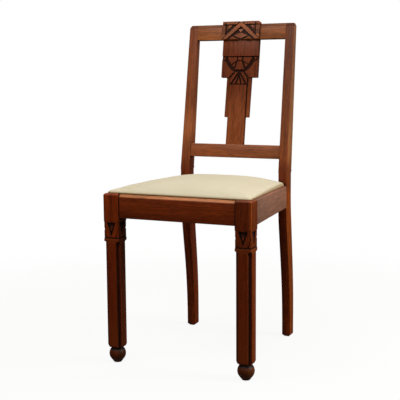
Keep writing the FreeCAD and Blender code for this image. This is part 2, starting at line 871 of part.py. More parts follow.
def splat():
    front = splat_setback
    back = splat_setback + splat_thickness
    ground = front + splat_field_floor
    root = ground + root_depth
    half = splat_width / 2
    neck = splat_neck_width / 2
    panel = splat_panel_width / 2
    strip = front + splat_strip_setback
    board = [
        box((-half, half), (front, back), (splat_field_top, crest_bottom)),
        box((-half, half), (ground, back), (splat_field_bottom, splat_field_top)),
        box((-neck, neck), (strip, back), (splat_neck_bottom, splat_field_bottom)),
        box((-panel, panel), (ground, back), (skirt_bottom, splat_field_bottom)),
        box((-panel, panel), (front, back), (cross_rail_top, skirt_bottom)),
    ]

    def on_field(points):
        return [(x * half / 100, splat_field_top - drop * splat_field_height / 100) for x, drop in points]

    def on_skirt(points):
        spring = splat_field_top - pleat_spring * splat_field_height / 100
        fall = spring - skirt_bottom - pleat_foot_rise
        return [(x * panel / 100, spring - drop * fall / 100) for x, drop in points]

    raised = [(depth, on_field(outline)) for depth, outline in field_middle_pieces]
    raised.append((middle_pleat[0], on_skirt(middle_pleat[1])))
    for place, pieces in ((on_field, field_side_pieces), (on_skirt, side_pleats)):
        for depth, outline in pieces:
            raised += [(depth, side) for side in both_sides(place(outline))]
    for depth, outline in raised:
        board.append(sloped(outline, root, front + depth, relief_slope))

    cheek_front = front + cheek_sunk
    start, bow, end = [Vector(x, root, z) for x, z in on_field(cheek_arc)]
    rest = [end] + [Vector(x, root, z) for x, z in on_field(cheek_sole)] + [start]
    rim = Part.Wire([Part.Arc(start, bow, end).toShape()] + Part.makePolygon(rest).Edges)
    cheek = Part.Face(rim).extrude(Vector(0, cheek_front - root, 0))
    groove = upright(on_field(cheek_line), front - cut_margin, cheek_front + cheek_line_depth)
    cheek = cheek.cut(groove)
    board += [cheek, mirrored(cheek)]
    board.append(splat_tenon(crest_bottom, 1, splat_width, 0, 0))
    board.append(splat_tenon(cross_rail_top, -1, splat_panel_width, 0, 0))
    return raked(joined(board))


# Drop-in seat: a loose frame, webbing, hessian, stuffing and a tacked cover
cover_bottom = ledge_height + rest_gap
wood_bottom = cover_bottom + cover_thickness
wood_top = wood_bottom + seat_wood_thickness
wood_inset = seat_clearance + cover_thickness
wood_front_y = rail_setback + front_lip + wood_inset
wood_rear_y = seat_depth - wood_inset
hole_front_y = wood_front_y + seat_wood_width
hole_rear_y = wood_rear_y - seat_wood_width


def hole_side_x(y):
    return seat_side_x(y) - wood_inset - seat_wood_width


def seat_wood():
    """Front, back, left and right members of the loose frame."""
    whole = seat_prism(wood_inset, wood_bottom, wood_top)
    whole = whole.cut(
        level(
            [
                (hole_side_x(hole_front_y), hole_front_y),
                (hole_side_x(hole_rear_y), hole_rear_y),
                (-hole_side_x(hole_rear_y), hole_rear_y),
                (-hole_side_x(hole_front_y), hole_front_y),
            ],
            wood_bottom - cut_margin,
            wood_top + cut_margin,
        )
    )
    z = (wood_bottom - cut_margin, wood_top + cut_margin)
    front = whole.common(box((-far, far), (-far, hole_front_y), z))
    rear = whole.common(box((-far, far), (hole_rear_y, far), z))
    right = whole.common(box((0, far), (hole_front_y, hole_rear_y), z))
    middle_z = (wood_bottom + wood_top) / 2
    half = seat_tenon_width / 2

    def tenon(gap, end_gap):
        front_y = hole_front_y - seat_tenon_length - end_gap
        rear_y = hole_rear_y + seat_tenon_length + end_gap
        plan = []
        for y, way in ((front_y, -1), (front_y, 1), (rear_y, 1), (rear_y, -1)):
            plan.append((hole_side_x(y) + seat_wood_width / 2 + way * (half + gap), y))
        reach = seat_tenon_thickness / 2 + gap
        return level(plan, middle_z - reach, middle_z + reach)

    mortises = [tenon(tenon_gap, tenon_end_gap), mirrored(tenon(tenon_gap, tenon_end_gap))]
    right = right.fuse(tenon(0, 0)).removeSplitter()
    return front.cut(mortises), rear.cut(mortises), mirrored(right), right


def webbing_strip(length_low, length_high, crossings, first_over):
    """Side view of one strip as (run, rise) points: it passes over and under the strips across it."""
    hop = webbing_thickness + webbing_weave_gap
    half = webbing_width / 2
    path = [(length_low, 0.0)]
    for i, place in enumerate(crossings):
        rise = hop if (i % 2 == 0) == first_over else 0.0
        path += [(place - half, rise), (place + half, rise)]
    path.append((length_high, 0.0))
    top = [(run, rise + webbing_thickness) for run, rise in reversed(path)]
    return path + top


def webbing():
    """Interlaced strips: front to back, and side to side."""
    low_y = hole_front_y - webbing_hold
    high_y = hole_rear_y + webbing_hold
    step_y = (hole_rear_y - hole_front_y) / webbing_count
    places_y = [hole_front_y + step_y * (i + 0.5) for i in range(webbing_count)]
    step_x = 2 * hole_side_x(hole_rear_y) / webbing_count
    places_x = [step_x * (i - (webbing_count - 1) / 2) for i in range(webbing_count)]
    half = webbing_width / 2
    lengthwise = []
    for i, x in enumerate(places_x):
        side = webbing_strip(low_y, high_y, places_y, i % 2 == 0)
        lengthwise.append(profile([(y, wood_top + z) for y, z in side], x - half, x + half))
    crosswise = []
    for i, y in enumerate(places_y):
        reach = hole_side_x(y) + webbing_hold
        side = webbing_strip(-reach, reach, places_x, i % 2 == 1)
        crosswise.append(upright([(x, wood_top + z) for x, z in side], y - half, y + half))
    return lengthwise, crosswise


hessian_bottom = wood_top + 2 * webbing_thickness + 2 * webbing_weave_gap
hessian_top = hessian_bottom + hessian_thickness
roll_bottom = max(seat_height, wood_top + cover_thickness) + pad_roll_start
roll_top = roll_bottom + pad_roll_height
crown_span = min(seat_side_x(seat_depth), (seat_depth - rail_setback - front_lip) / 2)


def pad(inward, bottom):
    """Crowned pad with straight walls, drawn in by inward for the cover's lining and the stuffing."""
    base = seat_clearance + inward
    sections = []
    for z in (bottom, roll_bottom - inward):
        sections.append(seat_plan(base, base, base, seat_corner_radius, z))
    for ring in range(crown_rings + 1):
        amount = (crown_span - crown_flat) * (ring / crown_rings) ** crown_ring_power
        rise = roll_rise * (1 - math.exp(-amount / roll_reach))
        rise += crown_rise * (1 - (1 - amount / (crown_span + crown_flat)) ** crown_power)
        sections.append(
            seat_plan(
                base + amount - pad_over_front,
                base + amount - pad_over_side,
                base + amount - pad_over_rear,
                seat_corner_radius + crown_corner_growth * amount,
                roll_top + rise - inward,
            )
        )
    return Part.makeLoft(sections, True, True)


def seat_cover():
    opening = seat_clearance + cover_turn_under
    underside = seat_prism(opening, cover_bottom - cut_margin, wood_bottom + cut_margin)
    return pad(0, cover_bottom).cut(pad(cover_thickness, wood_bottom)).cut(underside)


def stuffing():
    whole = pad(cover_thickness + lining_gap, wood_top)
    return whole.cut(box((-far, far), (-far, far), (0, hessian_top)))


def cover_tacks():
    """Tacks through the turned-under cover into the seat wood, along all four sides."""
    front_y = wood_front_y + tack_inset
    rear_y = wood_rear_y - tack_inset
    places = []
    for i in range(tacks_per_side):
        share = (i + 0.5) / tacks_per_side
        for y in (front_y, rear_y):
            reach = seat_side_x(y) - wood_inset - 2 * tack_inset
            places.append((reach * (2 * share - 1), y))
        y = front_y + 2 * tack_inset + (rear_y - front_y - 4 * tack_inset) * share
        x = seat_side_x(y) - wood_inset - tack_inset
        places += [(x, y), (-x, y)]
    return places


def tack(x, y, grow):
    head_z = cover_bottom - tack_head_height
    head = Part.makeCylinder(tack_head_radius, tack_head_height, Vector(x, y, head_z))
    shank = Part.makeCylinder(tack_shank_radius + grow, tack_length + grow, Vector(x, y, cover_bottom))
    return shank if grow else head.fuse(shank)


# Every node of the chair
nodes = {}
leg = front_leg()
nodes["front_leg_right"] = leg
nodes["front_leg_left"] = mirrored(leg)
post = rear_post()
nodes["rear_post_right"] = post
nodes["rear_post_left"] = mirrored(post)
nodes["crest_rail"] = crest_rail()
nodes["crest_block"] = crest_block()
nodes["back_splat"] = splat()
nodes["cross_rail"] = cross_rail()

holes = screws(screw_gap)
nodes["front_seat_rail"] = front_rail().cut(holes)
side = side_rail()
nodes["side_seat_rail_right"] = side.cut(holes)
nodes["side_seat_rail_left"] = mirrored(side).cut(holes)
nodes["rear_seat_rail"] = rear_rail().cut(holes)
for name, plan in (("front", front_brace_plan()), ("rear", rear_brace_plan())):
    brace = level(plan, brace_top - brace_height, brace_top)
    nodes["corner_block_" + name + "_right"] = brace.cut(holes)
    nodes["corner_block_" + name + "_left"] = mirrored(brace).cut(holes)
nodes["corner_block_screws"] = Part.makeCompound(screws(0))

tack_places = cover_tacks()
tack_holes = [tack(x, y, screw_gap) for x, y in tack_places]
wood_names = ("front", "back", "left", "right")
for name, member in zip(wood_names, seat_wood()):
    nodes["seat_frame_" + name] = member.cut(tack_holes)
lengthwise, crosswise = webbing()
nodes["webbing_lengthwise"] = Part.makeCompound(lengthwise)
nodes["webbing_crosswise"] = Part.makeCompound(crosswise)
nodes["hessian_sheet"] = seat_prism(wood_inset + hessian_inset, hessian_bottom, hessian_top)
nodes["seat_stuffing"] = stuffing()
nodes["seat_cover"] = seat_cover().cut(tack_holes)
nodes["cover_tacks"] = Part.makeCompound([tack(x, y, 0) for x, y in tack_places])

# The origin goes to the floor in the middle of the chair's box
whole = Part.makeCompound(list(nodes.values())).optimalBoundingBox(False, False)
middle = Vector(-(whole.XMin + whole.XMax) / 2, -(whole.YMin + whole.YMax) / 2, -whole.ZMin)
os.makedirs("parts", exist_ok=True)
for name, shape in nodes.items():
    shape.translate(middle)
    bad = [s for s in shape.Solids if not s.isValid() or s.Volume <= 0]
    if bad:
        print("check", name, len(bad), "of", len(shape.Solids), "solids")
    shape.exportStep("parts/" + name + ".step")
    print(name, len(shape.Solids), "solids,", round(shape.Volume / 1000, 1), "cubic cm")
print("box", round(whole.XLength, 1), round(whole.YLength, 1), round(whole.ZLength, 1), "moved", middle)
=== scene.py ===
import bpy
import math
from mathutils import Matrix, Vector, noise


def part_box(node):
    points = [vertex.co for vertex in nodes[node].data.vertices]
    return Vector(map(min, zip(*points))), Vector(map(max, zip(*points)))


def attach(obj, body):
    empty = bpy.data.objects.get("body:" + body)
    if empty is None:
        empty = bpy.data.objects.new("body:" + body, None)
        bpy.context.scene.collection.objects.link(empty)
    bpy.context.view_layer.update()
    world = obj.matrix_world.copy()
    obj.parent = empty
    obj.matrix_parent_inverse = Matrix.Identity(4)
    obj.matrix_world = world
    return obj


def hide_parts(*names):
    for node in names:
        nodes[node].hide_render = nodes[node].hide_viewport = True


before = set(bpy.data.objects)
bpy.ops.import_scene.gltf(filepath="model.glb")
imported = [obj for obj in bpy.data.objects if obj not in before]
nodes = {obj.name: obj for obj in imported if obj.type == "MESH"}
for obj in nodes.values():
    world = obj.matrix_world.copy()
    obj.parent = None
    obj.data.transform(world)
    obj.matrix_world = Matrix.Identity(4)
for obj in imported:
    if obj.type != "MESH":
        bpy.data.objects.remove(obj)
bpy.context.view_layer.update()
scene = bpy.context.scene
print("frame loaded,", len(nodes), "nodes")

rake = math.radians(9.23)
upBack = Vector((0, math.sin(rake), math.cos(rake)))  # up along the raked back
outBack = Vector((0, -math.cos(rake), math.sin(rake)))  # out of its front face
copying = {"merge": 0.00002, "flat": math.radians(0.6)}


# Small helpers for modelling as by hand
def deselectAll():
    if bpy.context.object and bpy.context.object.mode != "OBJECT":
        bpy.ops.object.mode_set(mode="OBJECT")
    bpy.ops.object.select_all(action="DESELECT")


def pickOnly(piece):
    deselectAll()
    piece.select_set(True)
    bpy.context.view_layer.objects.active = piece


def editAll(piece):
    pickOnly(piece)
    bpy.ops.object.mode_set(mode="EDIT")
    bpy.ops.mesh.select_all(action="SELECT")


def leaveEdit():
    bpy.ops.object.mode_set(mode="OBJECT")


def addModifier(piece, kind, **settings):
    pickOnly(piece)
    modifier = piece.modifiers.new(kind.lower(), kind)
    for key, value in settings.items():
        setattr(modifier, key, value)
    return modifier


def applyModifier(piece, kind, **settings):
    modifier = addModifier(piece, kind, **settings)
    bpy.ops.object.modifier_apply(modifier=modifier.name)


def addGrid(name, across, along):
    deselectAll()
    bpy.ops.mesh.primitive_grid_add(x_subdivisions=across, y_subdivisions=along, size=2, calc_uvs=True)
    bpy.context.object.name = name
    return bpy.context.object


def mergedCopy(nodeName, pieceName):
    piece = bpy.data.objects.new(pieceName, nodes[nodeName].data.copy())
    scene.collection.objects.link(piece)
    piece.data.materials.clear()
    editAll(piece)
    bpy.ops.mesh.customdata_custom_splitnormals_clear()
    bpy.ops.mesh.remove_doubles(threshold=copying["merge"])
    bpy.ops.mesh.dissolve_limited(angle_limit=copying["flat"])
    leaveEdit()
    return piece


def setMaterial(piece, material):
    piece.data.materials.clear()
    piece.data.materials.append(material)


# Small helpers for shader nodes
def linear(red, green, blue):
    parts = [c / 255 for c in (red, green, blue)]
    return [c / 12.92 if c <= 0.04045 else ((c + 0.055) / 1.055) ** 2.4 for c in parts] + [1.0]


def shade(colour, amount):
    return [c * amount for c in colour[:3]] + [1.0]


def fillSockets(made, sockets):
    for key, value in sockets.items():
        if isinstance(value, bpy.types.NodeSocket):
            made.id_data.links.new(value, made.inputs[key])
        else:
            made.inputs[key].default_value = value


def addNode(tree, kind, sockets=None, **settings):
    made = tree.nodes.new("ShaderNode" + kind)
    for key, value in settings.items():
        setattr(made, key, value)
    fillSockets(made, sockets or {})
    return made


def treeOf(values):
    return next(value.id_data for value in values if isinstance(value, bpy.types.NodeSocket))


def maths(operation, *values):
    return addNode(treeOf(values), "Math", dict(enumerate(values)), operation=operation).outputs[0]


def times(first, second):
    return maths("MULTIPLY", first, second)


def timesPlus(value, factor, more):
    return maths("MULTIPLY_ADD", value, factor, more)


def vectorMaths(operation, *values):
    outputs = addNode(treeOf(values), "VectorMath", dict(enumerate(values)), operation=operation).outputs
    return outputs[1] if operation in ("LENGTH", "DOT_PRODUCT") else outputs[0]


def splitUp(vector):
    return addNode(vector.id_data, "SeparateXYZ", {0: vector}).outputs


def placeOn(tree, kind="Object"):
    return addNode(tree, "TexCoord").outputs[kind]


def faceNormal(tree):
    return addNode(tree, "NewGeometry").outputs["Normal"]


def mixColours(factor, first, second, blend="MIX"):
    sockets = {0: factor, 6: first, 7: second}
    made = addNode(treeOf(sockets.values()), "Mix", sockets, data_type="RGBA", blend_type=blend)
    return made.outputs[2]


def layOver(share, colour, over):
    return mixColours(share, colour, linear(*over))


def remap(value, low, high, toLow=0.0, toHigh=1.0, curve="SMOOTHSTEP"):
    sockets = {"Value": value, "From Min": low, "From Max": high, "To Min": toLow, "To Max": toHigh}
    return addNode(value.id_data, "MapRange", sockets, interpolation_type=curve).outputs[0]


def within(value, low, high, soft, softHigh=None):
    rise = remap(value, low - soft, low + soft)
    soft = softHigh or soft
    return times(rise, remap(value, high + soft, high - soft))


def stretched(vector, scale, turn=(0, 0, 0), move=(0, 0, 0)):
    sockets = {"Vector": vector, "Scale": scale, "Rotation": turn, "Location": move}
    return addNode(vector.id_data, "Mapping", sockets).outputs[0]


def noiseAt(vector, scale, detail=2.0, rough=0.5):
    sockets = {"Vector": vector, "Scale": scale, "Detail": detail, "Roughness": rough}
    return addNode(vector.id_data, "TexNoise", sockets).outputs[0]


def startGroup(name, inputs, outputs):
    group = bpy.data.node_groups.new(name, "ShaderNodeTree")
    for label in inputs:
        kind = "NodeSocketVector" if label == "Vector" else "NodeSocketFloat"
        group.interface.new_socket(name=label, in_out="INPUT", socket_type=kind)
    for label in outputs:
        group.interface.new_socket(name=label, in_out="OUTPUT", socket_type="NodeSocketFloat")
    return group, group.nodes.new("NodeGroupInput").outputs, group.nodes.new("NodeGroupOutput")


def placeGroup(tree, group, **sockets):
    made = tree.nodes.new("ShaderNodeGroup")
    made.node_tree = group
    fillSockets(made, sockets)
    return made.outputs


def startMaterial(name, **plain):
    material = bpy.data.materials.new(name)
    material.use_nodes = True
    tree = material.node_tree
    shader = tree.nodes["Principled BSDF"]
    for key, value in plain.items():
        shader.inputs[key.replace("_", " ")].default_value = value
    return material, tree, shader


def dress(shader, colour, height, relief, depth):
    bump = addNode(shader.id_data, "Bump", {"Height": height, "Strength": relief, "Distance": depth})
    fillSockets(shader, {"Base Color": colour, "Normal": bump.outputs[0]})


# Wood grain, with the length of the grain along z: growth bands, streaks and open pores
grainLook = {
    "seedShift": (0.37, 0.23, 0.71), "wander": (9, 9, 2.2), "bend": (0.03, 0.03, 0.0),
    "straight": (1, 1, 0.02), "pith": (0.41, 0.33, 0.0), "band": 0.12,
    "layers": (  # streaks, flecks and fine lines
        {"scale": (85, 85, 3.4), "detail": 3.0, "rough": 0.6, "range": (0.28, 0.72), "share": 0.30},
        {"scale": (330, 330, 42), "detail": 2.0, "rough": 0.55, "range": (0.38, 0.66), "share": 0.30},
        {"scale": (420, 420, 11), "detail": 2.0, "rough": 0.6, "range": (0.3, 0.7), "share": 0.28},
    ),
    "vessels": {"scale": (1250, 1250, 34), "detail": 1.0, "rough": 0.5, "range": (0.56, 0.68)},
    "poresByBand": (0.1, 0.8, 0.35, 1.0), "figureHeight": 0.35,
}


def grainLayer(place, layer):
    made = noiseAt(stretched(place, layer["scale"]), 1.0, layer["detail"], layer["rough"])
    return remap(made, *layer["range"])


def makeGrainGroup():
    group, given, out = startGroup("woodGrain", ("Vector", "Seed", "Bands"), ("Figure", "Pores", "Height"))
    shifts = {axis: times(given["Seed"], shift) for axis, shift in enumerate(grainLook["seedShift"])}
    place = vectorMaths("ADD", given["Vector"], addNode(group, "CombineXYZ", shifts).outputs[0])
    sockets = {"Vector": stretched(place, grainLook["wander"]), "Scale": 1.0, "Detail": 2.0}
    wander = addNode(group, "TexNoise", sockets).outputs[1]
    bend = vectorMaths("MULTIPLY", wander, grainLook["bend"])
    bent = stretched(vectorMaths("ADD", given["Vector"], bend), grainLook["straight"])
    ring = vectorMaths("LENGTH", vectorMaths("ADD", bent, grainLook["pith"]))
    turns = times(times(ring, given["Bands"]), math.tau)
    band = timesPlus(maths("SINE", turns), 0.5, 0.5)
    figure = times(band, grainLook["band"])
    for layer in grainLook["layers"]:
        figure = timesPlus(grainLayer(place, layer), layer["share"], figure)
    vessels = grainLayer(place, grainLook["vessels"])
    pores = times(vessels, remap(band, *grainLook["poresByBand"]))
    height = timesPlus(pores, -1.0, times(figure, grainLook["figureHeight"]))
    fillSockets(out, {"Figure": figure, "Pores": pores, "Height": height})
    return group


# Age: dark wax and painted shade in corners and cuts, from ambient occlusion, and edges rubbed lighter
ageAndShadeLook = {"edge": 0.0015, "closed": (0.82, 0.45), "open": (0.75, 0.95), "rubbed": (0.99, 0.86)}


def makeAgeAndShadeGroup():
    group, given, out = startGroup("woodAgeAndShade", ("Reach",), ("ShadeAndWax", "Rubbed"))
    closed = addNode(group, "AmbientOcclusion", {"Distance": given["Reach"]}, samples=8).outputs["AO"]
    rounded = addNode(group, "Bevel", {"Radius": ageAndShadeLook["edge"]}, samples=6).outputs[0]
    along = vectorMaths("DOT_PRODUCT", rounded, faceNormal(group))
    rubbed = times(remap(along, *ageAndShadeLook["rubbed"]), remap(closed, *ageAndShadeLook["open"]))
    fillSockets(out, {"ShadeAndWax": remap(closed, *ageAndShadeLook["closed"]), "Rubbed": rubbed})
    return group


woodGrain = makeGrainGroup()
woodAgeAndShade = makeAgeAndShadeGroup()
sideTurn = 0.116  # the side rails come together towards the rear
grainTurns = {"x": (0, math.pi / 2, 0), "z": (0, 0, 0), "raked": (rake, 0, 0),
              "right": (math.pi / 2, sideTurn, 0), "left": (math.pi / 2, -sideTurn, 0)}
wood = {"waxRough": 0.32, "cloudScale": (7, 7, 3), "cloudRange": (0.3, 0.7), "rightRange": (0.4, 0.7),
        "upRange": (0.15, 0.9), "upAbove": (0.35, 0.37), "railEnds": (-0.19, 0.147),
        "cornerRange": (0.0125, 0.0225), "cornerAbove": (0.380, 0.392), "cornerMix": 0.6,
        "lessOnTop": -0.85, "lessNearSole": (0.008, 0.02), "seamSoft": 0.0003, "cutSoft": 0.0002,
        "figureRough": 0.14, "dirtRough": 0.45, "poreRough": 0.2, "relief": 0.35, "reliefDepth": 0.00025}


# How deep a point lies in the carving: behind the face, or for a notch towards the leg's corner
def boardDepth(spot, look, cut):
    toFace = vectorMaths("DOT_PRODUCT", spot["place"], outBack)
    front = vectorMaths("DOT_PRODUCT", spot["normal"], outBack)
    return times(maths("SUBTRACT", look["face"], toFace), remap(front, *cut["facing"]))


def legOffs(spot, look):
    offs = [maths("SUBTRACT", spot["sideways"], look["middle"].x),
            maths("SUBTRACT", spot["depth"], look["middle"].y)]
    offs = [maths("ABSOLUTE", off) for off in offs]
    return maths("MAXIMUM", *offs), maths("MINIMUM", *offs)


def notchDepth(spot, look, cut):
    outer, inner = legOffs(spot, look)
    return maths("SUBTRACT", inner, times(remap(outer, *cut["fadeRange"]), cut["fade"]))


def collarDepth(spot, look, cut):
    deep = maths("SUBTRACT", cut["half"], legOffs(spot, look)[0])
    level = splitUp(spot["normal"])[:2]
    facing = maths("MAXIMUM", *[maths("ABSOLUTE", part) for part in level])
    spared = times(remap(facing, *cut["flat"]), remap(deep, *cut["shallow"]))
    return times(deep, timesPlus(spared, -cut["spare"], 1.0))


# The layers of a wood's colour, from the stain out
def addZones(colour, spot, look):
    for zone in look["zones"]:
        share = within(spot["height"], zone["low"], zone["high"], zone["soft"], zone.get("softHigh"))
        share = times(share, zone["amount"])
        if "right" in zone:  # less of it on faces to the right
            share = times(share, timesPlus(spot["rightward"], zone["right"] - 1, 1.0))
        colour = layOver(share, colour, zone["to"])
    return colour


def addTints(colour, spot, look):
    if look["frontTint"]:  # a rail's colour from front to rear
        lengthwise = remap(spot["depth"], *wood["railEnds"], curve="LINEAR")
        tint = mixColours(lengthwise, (*look["frontTint"], 1), (*look["rearTint"], 1))
        colour = mixColours(1.0, colour, tint, "MULTIPLY")
    if look["rightLightTint"]:  # painted light and shade on faces to the right
        tinted = mixColours(1.0, colour, (*look["rightLightTint"], 1), "MULTIPLY")
        colour = mixColours(spot["rightward"], colour, tinted)
    return colour


# Painted light on a leg block's outer front corner
def paintLitCorner(colour, spot, look):
    middle = look["middle"]
    offSide = times(maths("SUBTRACT", spot["sideways"], middle.x), math.copysign(1.0, middle.x))
    offFront = maths("SUBTRACT", middle.y, spot["depth"])
    offBoth = maths("MINIMUM", offSide, offFront)
    near = remap(offBoth, *wood["cornerRange"], 0.0, look["corner"])
    near = times(near, remap(spot["height"], *wood["cornerAbove"]))
    colour = vectorMaths("MULTIPLY", colour, maths("ADD", near, 1.0))
    return layOver(times(near, wood["cornerMix"]), colour, look["litCornerTo"])


def addDirtAndShade(colour, spot, look, shadeAndWax):
    dull = shadeAndWax
    for left, right, low, high, amount in look["seams"]:  # painted shade with dirt in joints, corners and grooves
        share = within(spot["height"], low, high, wood["seamSoft"])
        share = times(share, within(spot["sideways"], left, right, wood["seamSoft"]))
        share = times(share, amount)
        colour = layOver(share, colour, look["darkWaxAndShade"])
        dull = maths("MAXIMUM", dull, share)
    for cut in look["cuts"]:  # wax in the carving, and painted shade with dirt in the leg notches
        sunk = remap(cut["depth"](spot, look, cut), cut["from"], cut["to"], 0.0, cut["amount"])
        low, high = cut["zone"]
        sunk = times(sunk, within(spot["height"], low, high, wood["cutSoft"]))
        if "wide" in cut:
            sunk = times(sunk, within(spot["sideways"], -cut["wide"], cut["wide"], wood["cutSoft"]))
        colour = layOver(sunk, colour, look["darkWaxAndShade"])
        dull = maths("MAXIMUM", dull, sunk)
    return layOver(shadeAndWax, colour, look["darkWaxAndShade"]), dull


def makeWood(name, look):
    plain = {"Coat_Weight": look["wax"], "Coat_Roughness": wood["waxRough"],
             "Specular_IOR_Level": look["shine"]}
    material, tree, shader = startMaterial(name, **plain)
    place = placeOn(tree)
    sideways, depth, height = splitUp(place)
    normal = faceNormal(tree)
    facing = splitUp(normal)
    upward = times(remap(facing[2], *wood["upRange"]), remap(height, *wood["upAbove"]))
    spot = {"place": place, "sideways": sideways, "depth": depth, "height": height, "normal": normal,
            "rightward": remap(facing[0], *wood["rightRange"])}
    turned = stretched(place, (1, 1, 1), grainTurns[look["grain"]])
    for start, end, back in look["bends"]:  # the grain follows the bends of a post
        shift = remap(height, start, end, 0.0, back, "LINEAR")
        turned = vectorMaths("SUBTRACT", turned, addNode(tree, "CombineXYZ", {1: shift}).outputs[0])
    grain = placeGroup(tree, woodGrain, Vector=turned, Seed=look["seed"], Bands=look["bands"])
    age = placeGroup(tree, woodAgeAndShade, Reach=look["reach"])
    # the stain turns to another colour higher up
    upperBlend = remap(height, *look["upperBlend"])
    stain = mixColours(upperBlend, linear(*look["stain"]), linear(*look["upperStain"]))
    # faces turned up made paler: wear, with painted light and painted reflection from above
    stain = layOver(times(upward, look["upWearAndLight"]), stain, look["upWearAndLightTo"])
    tone = timesPlus(grain["Figure"], look["light"] - look["dark"], look["dark"])
    tone = times(tone, timesPlus(grain["Pores"], -look["pores"], 1.0))
    moved = stretched(turned, wood["cloudScale"], move=(look["seed"], 0, 0))
    cloudy = look["cloudy"]
    cloud = remap(noiseAt(moved, 1.0), *wood["cloudRange"], 1 - cloudy, 1 + cloudy)
    tone = timesPlus(age["Rubbed"], look["rubbed"], times(tone, cloud))
    colour = vectorMaths("MULTIPLY", stain, tone)
    colour = addTints(addZones(colour, spot, look), spot, look)
    if look["corner"]:  # painted light on the front corner of a leg's block, strongest on the right leg
        colour = paintLitCorner(colour, spot, look)
    # painted shade with dark wax in corners and hollows, from ambient occlusion, less of it on tops and near
    # the sole
    lessShadeAndWax = times(timesPlus(upward, wood["lessOnTop"], 1.0), remap(height, *wood["lessNearSole"]))
    shadeAndWax = times(times(age["ShadeAndWax"], look["shadeAndWaxAmount"]), lessShadeAndWax)
    colour, dull = addDirtAndShade(colour, spot, look, shadeAndWax)
    rough = timesPlus(grain["Figure"], wood["figureRough"], look["rough"])
    rough = timesPlus(dull, wood["dirtRough"], rough)
    rough = timesPlus(grain["Pores"], wood["poreRough"], rough)
    fillSockets(shader, {"Roughness": rough})
    dress(shader, colour, grain["Height"], wood["relief"], wood["reliefDepth"])
    return material


# Stained oak of the chair frame: one entry for each piece
oak = {"grain": "z", "bends": (), "bands": 160.0,
       "stain": (128, 48, 6), "upperStain": (146, 78, 38), "upperBlend": (0.48, 0.62),
       "dark": 0.5, "light": 1.5, "pores": 0.55, "cloudy": 0.15,
       "rubbed": 0.8, "shadeAndWaxAmount": 0.95, "reach": 0.010, "darkWaxAndShade": (14, 5, 3),
       "rough": 0.40, "shine": 0.3, "wax": 0.06,
       "edge": 0.0008, "shortest": 0.004, "carved": (), "cuts": (), "zones": (), "seams": (),
       "upWearAndLight": 0.75, "upWearAndLightTo": (178, 112, 66), "corner": 0.0, "litCornerTo": (142, 70, 24),
       "frontTint": None, "rightLightTint": None}
legCuts = (
    {"depth": collarDepth, "zone": (0.3405, 0.3845), "from": 0.0002, "to": 0.0013, "amount": 0.92,
     "half": 0.021, "spare": 0.5, "flat": (0.975, 0.99), "shallow": (0.0031, 0.0028)},
    # the notches: painted shade with dirt
    {"depth": notchDepth, "zone": (0.044, 0.3340), "from": 0.0126, "to": 0.0132, "amount": 0.70,
     "fade": 0.0003, "fadeRange": (0.0165, 0.0219)},
)
legZones = (
    {"low": 0.050, "high": 0.336, "soft": 0.01, "softHigh": 0.003, "amount": 0.27, "to": (165, 56, 4),
     "right": 0.6},  # shaft
    {"low": 0.042, "high": 0.12, "soft": 0.006, "softHigh": 0.07, "amount": 0.42, "to": (150, 66, 10),
     "right": 0.3},  # paler at its foot
    {"low": 0.3405, "high": 0.3445, "soft": 0.0005, "amount": 0.85, "to": (16, 6, 4)},  # painted shade under the collar, above the band
    {"low": 0.3275, "high": 0.3400, "soft": 0.0010, "amount": 0.25, "to": (172, 84, 30)},  # rubbed band
    {"low": -0.01, "high": 0.037, "soft": 0.0020, "amount": 0.62, "to": (58, 29, 6)},  # ball foot
    {"low": 0.0345, "high": 0.0425, "soft": 0.0020, "amount": 0.9, "to": (22, 14, 11)},  # painted shadow under the shaft, on the top of the ball
)
boardCut = {"depth": boardDepth, "facing": (0.2, 0.6), "wide": 0.06}
crestCuts = ({**boardCut, "zone": (0.85, 0.93), "from": 0.0030, "to": 0.0044, "amount": 0.85},)
splatCuts = (
    {**boardCut, "zone": (0.760, 0.822), "from": 0.0024, "to": 0.0034, "amount": 0.84},
    {**boardCut, "zone": (0.738, 0.760), "from": 0.0024, "to": 0.0034, "amount": 0.88, "wide": 0.027},
)
seatShade = {"low": 0.44, "high": 0.515, "soft": 0.02, "amount": 0.5, "to": (84, 26, 4)}  # painted shade by the seat
topBevel = (
    {"low": 0.9042, "high": 1.0, "soft": 0.0004, "amount": 0.5, "to": (58, 26, 13)},
    {"low": 0.9036, "high": 0.9054, "soft": 0.0004, "amount": 0.4, "to": (30, 12, 6)},  # dirt at its foot
)
leftZones = (
    seatShade,
    {"low": 0.585, "high": 0.655, "soft": 0.04, "amount": 0.5, "to": (196, 114, 66)},
    {"low": 0.68, "high": 1.0, "soft": 0.04, "amount": 0.35, "to": (110, 46, 20)},
    *topBevel,
)
rightZones = (
    seatShade,
    {"low": 0.78, "high": 1.0, "soft": 0.06, "amount": 0.25, "to": (84, 31, 10)},
    *topBevel,
)
# painted shade with dirt in the steps beside the panel and at the foot of the pleats
splatSeams = (  # left, right, low, high and amount
    (-0.0296, -0.0272, 0.636, 0.762, 0.85),  # beside the panel
    (0.0264, 0.0288, 0.636, 0.762, 0.85),
    (-0.0262, 0.0262, 0.7384, 0.7398, 0.7),  # at the foot of the pleats
)
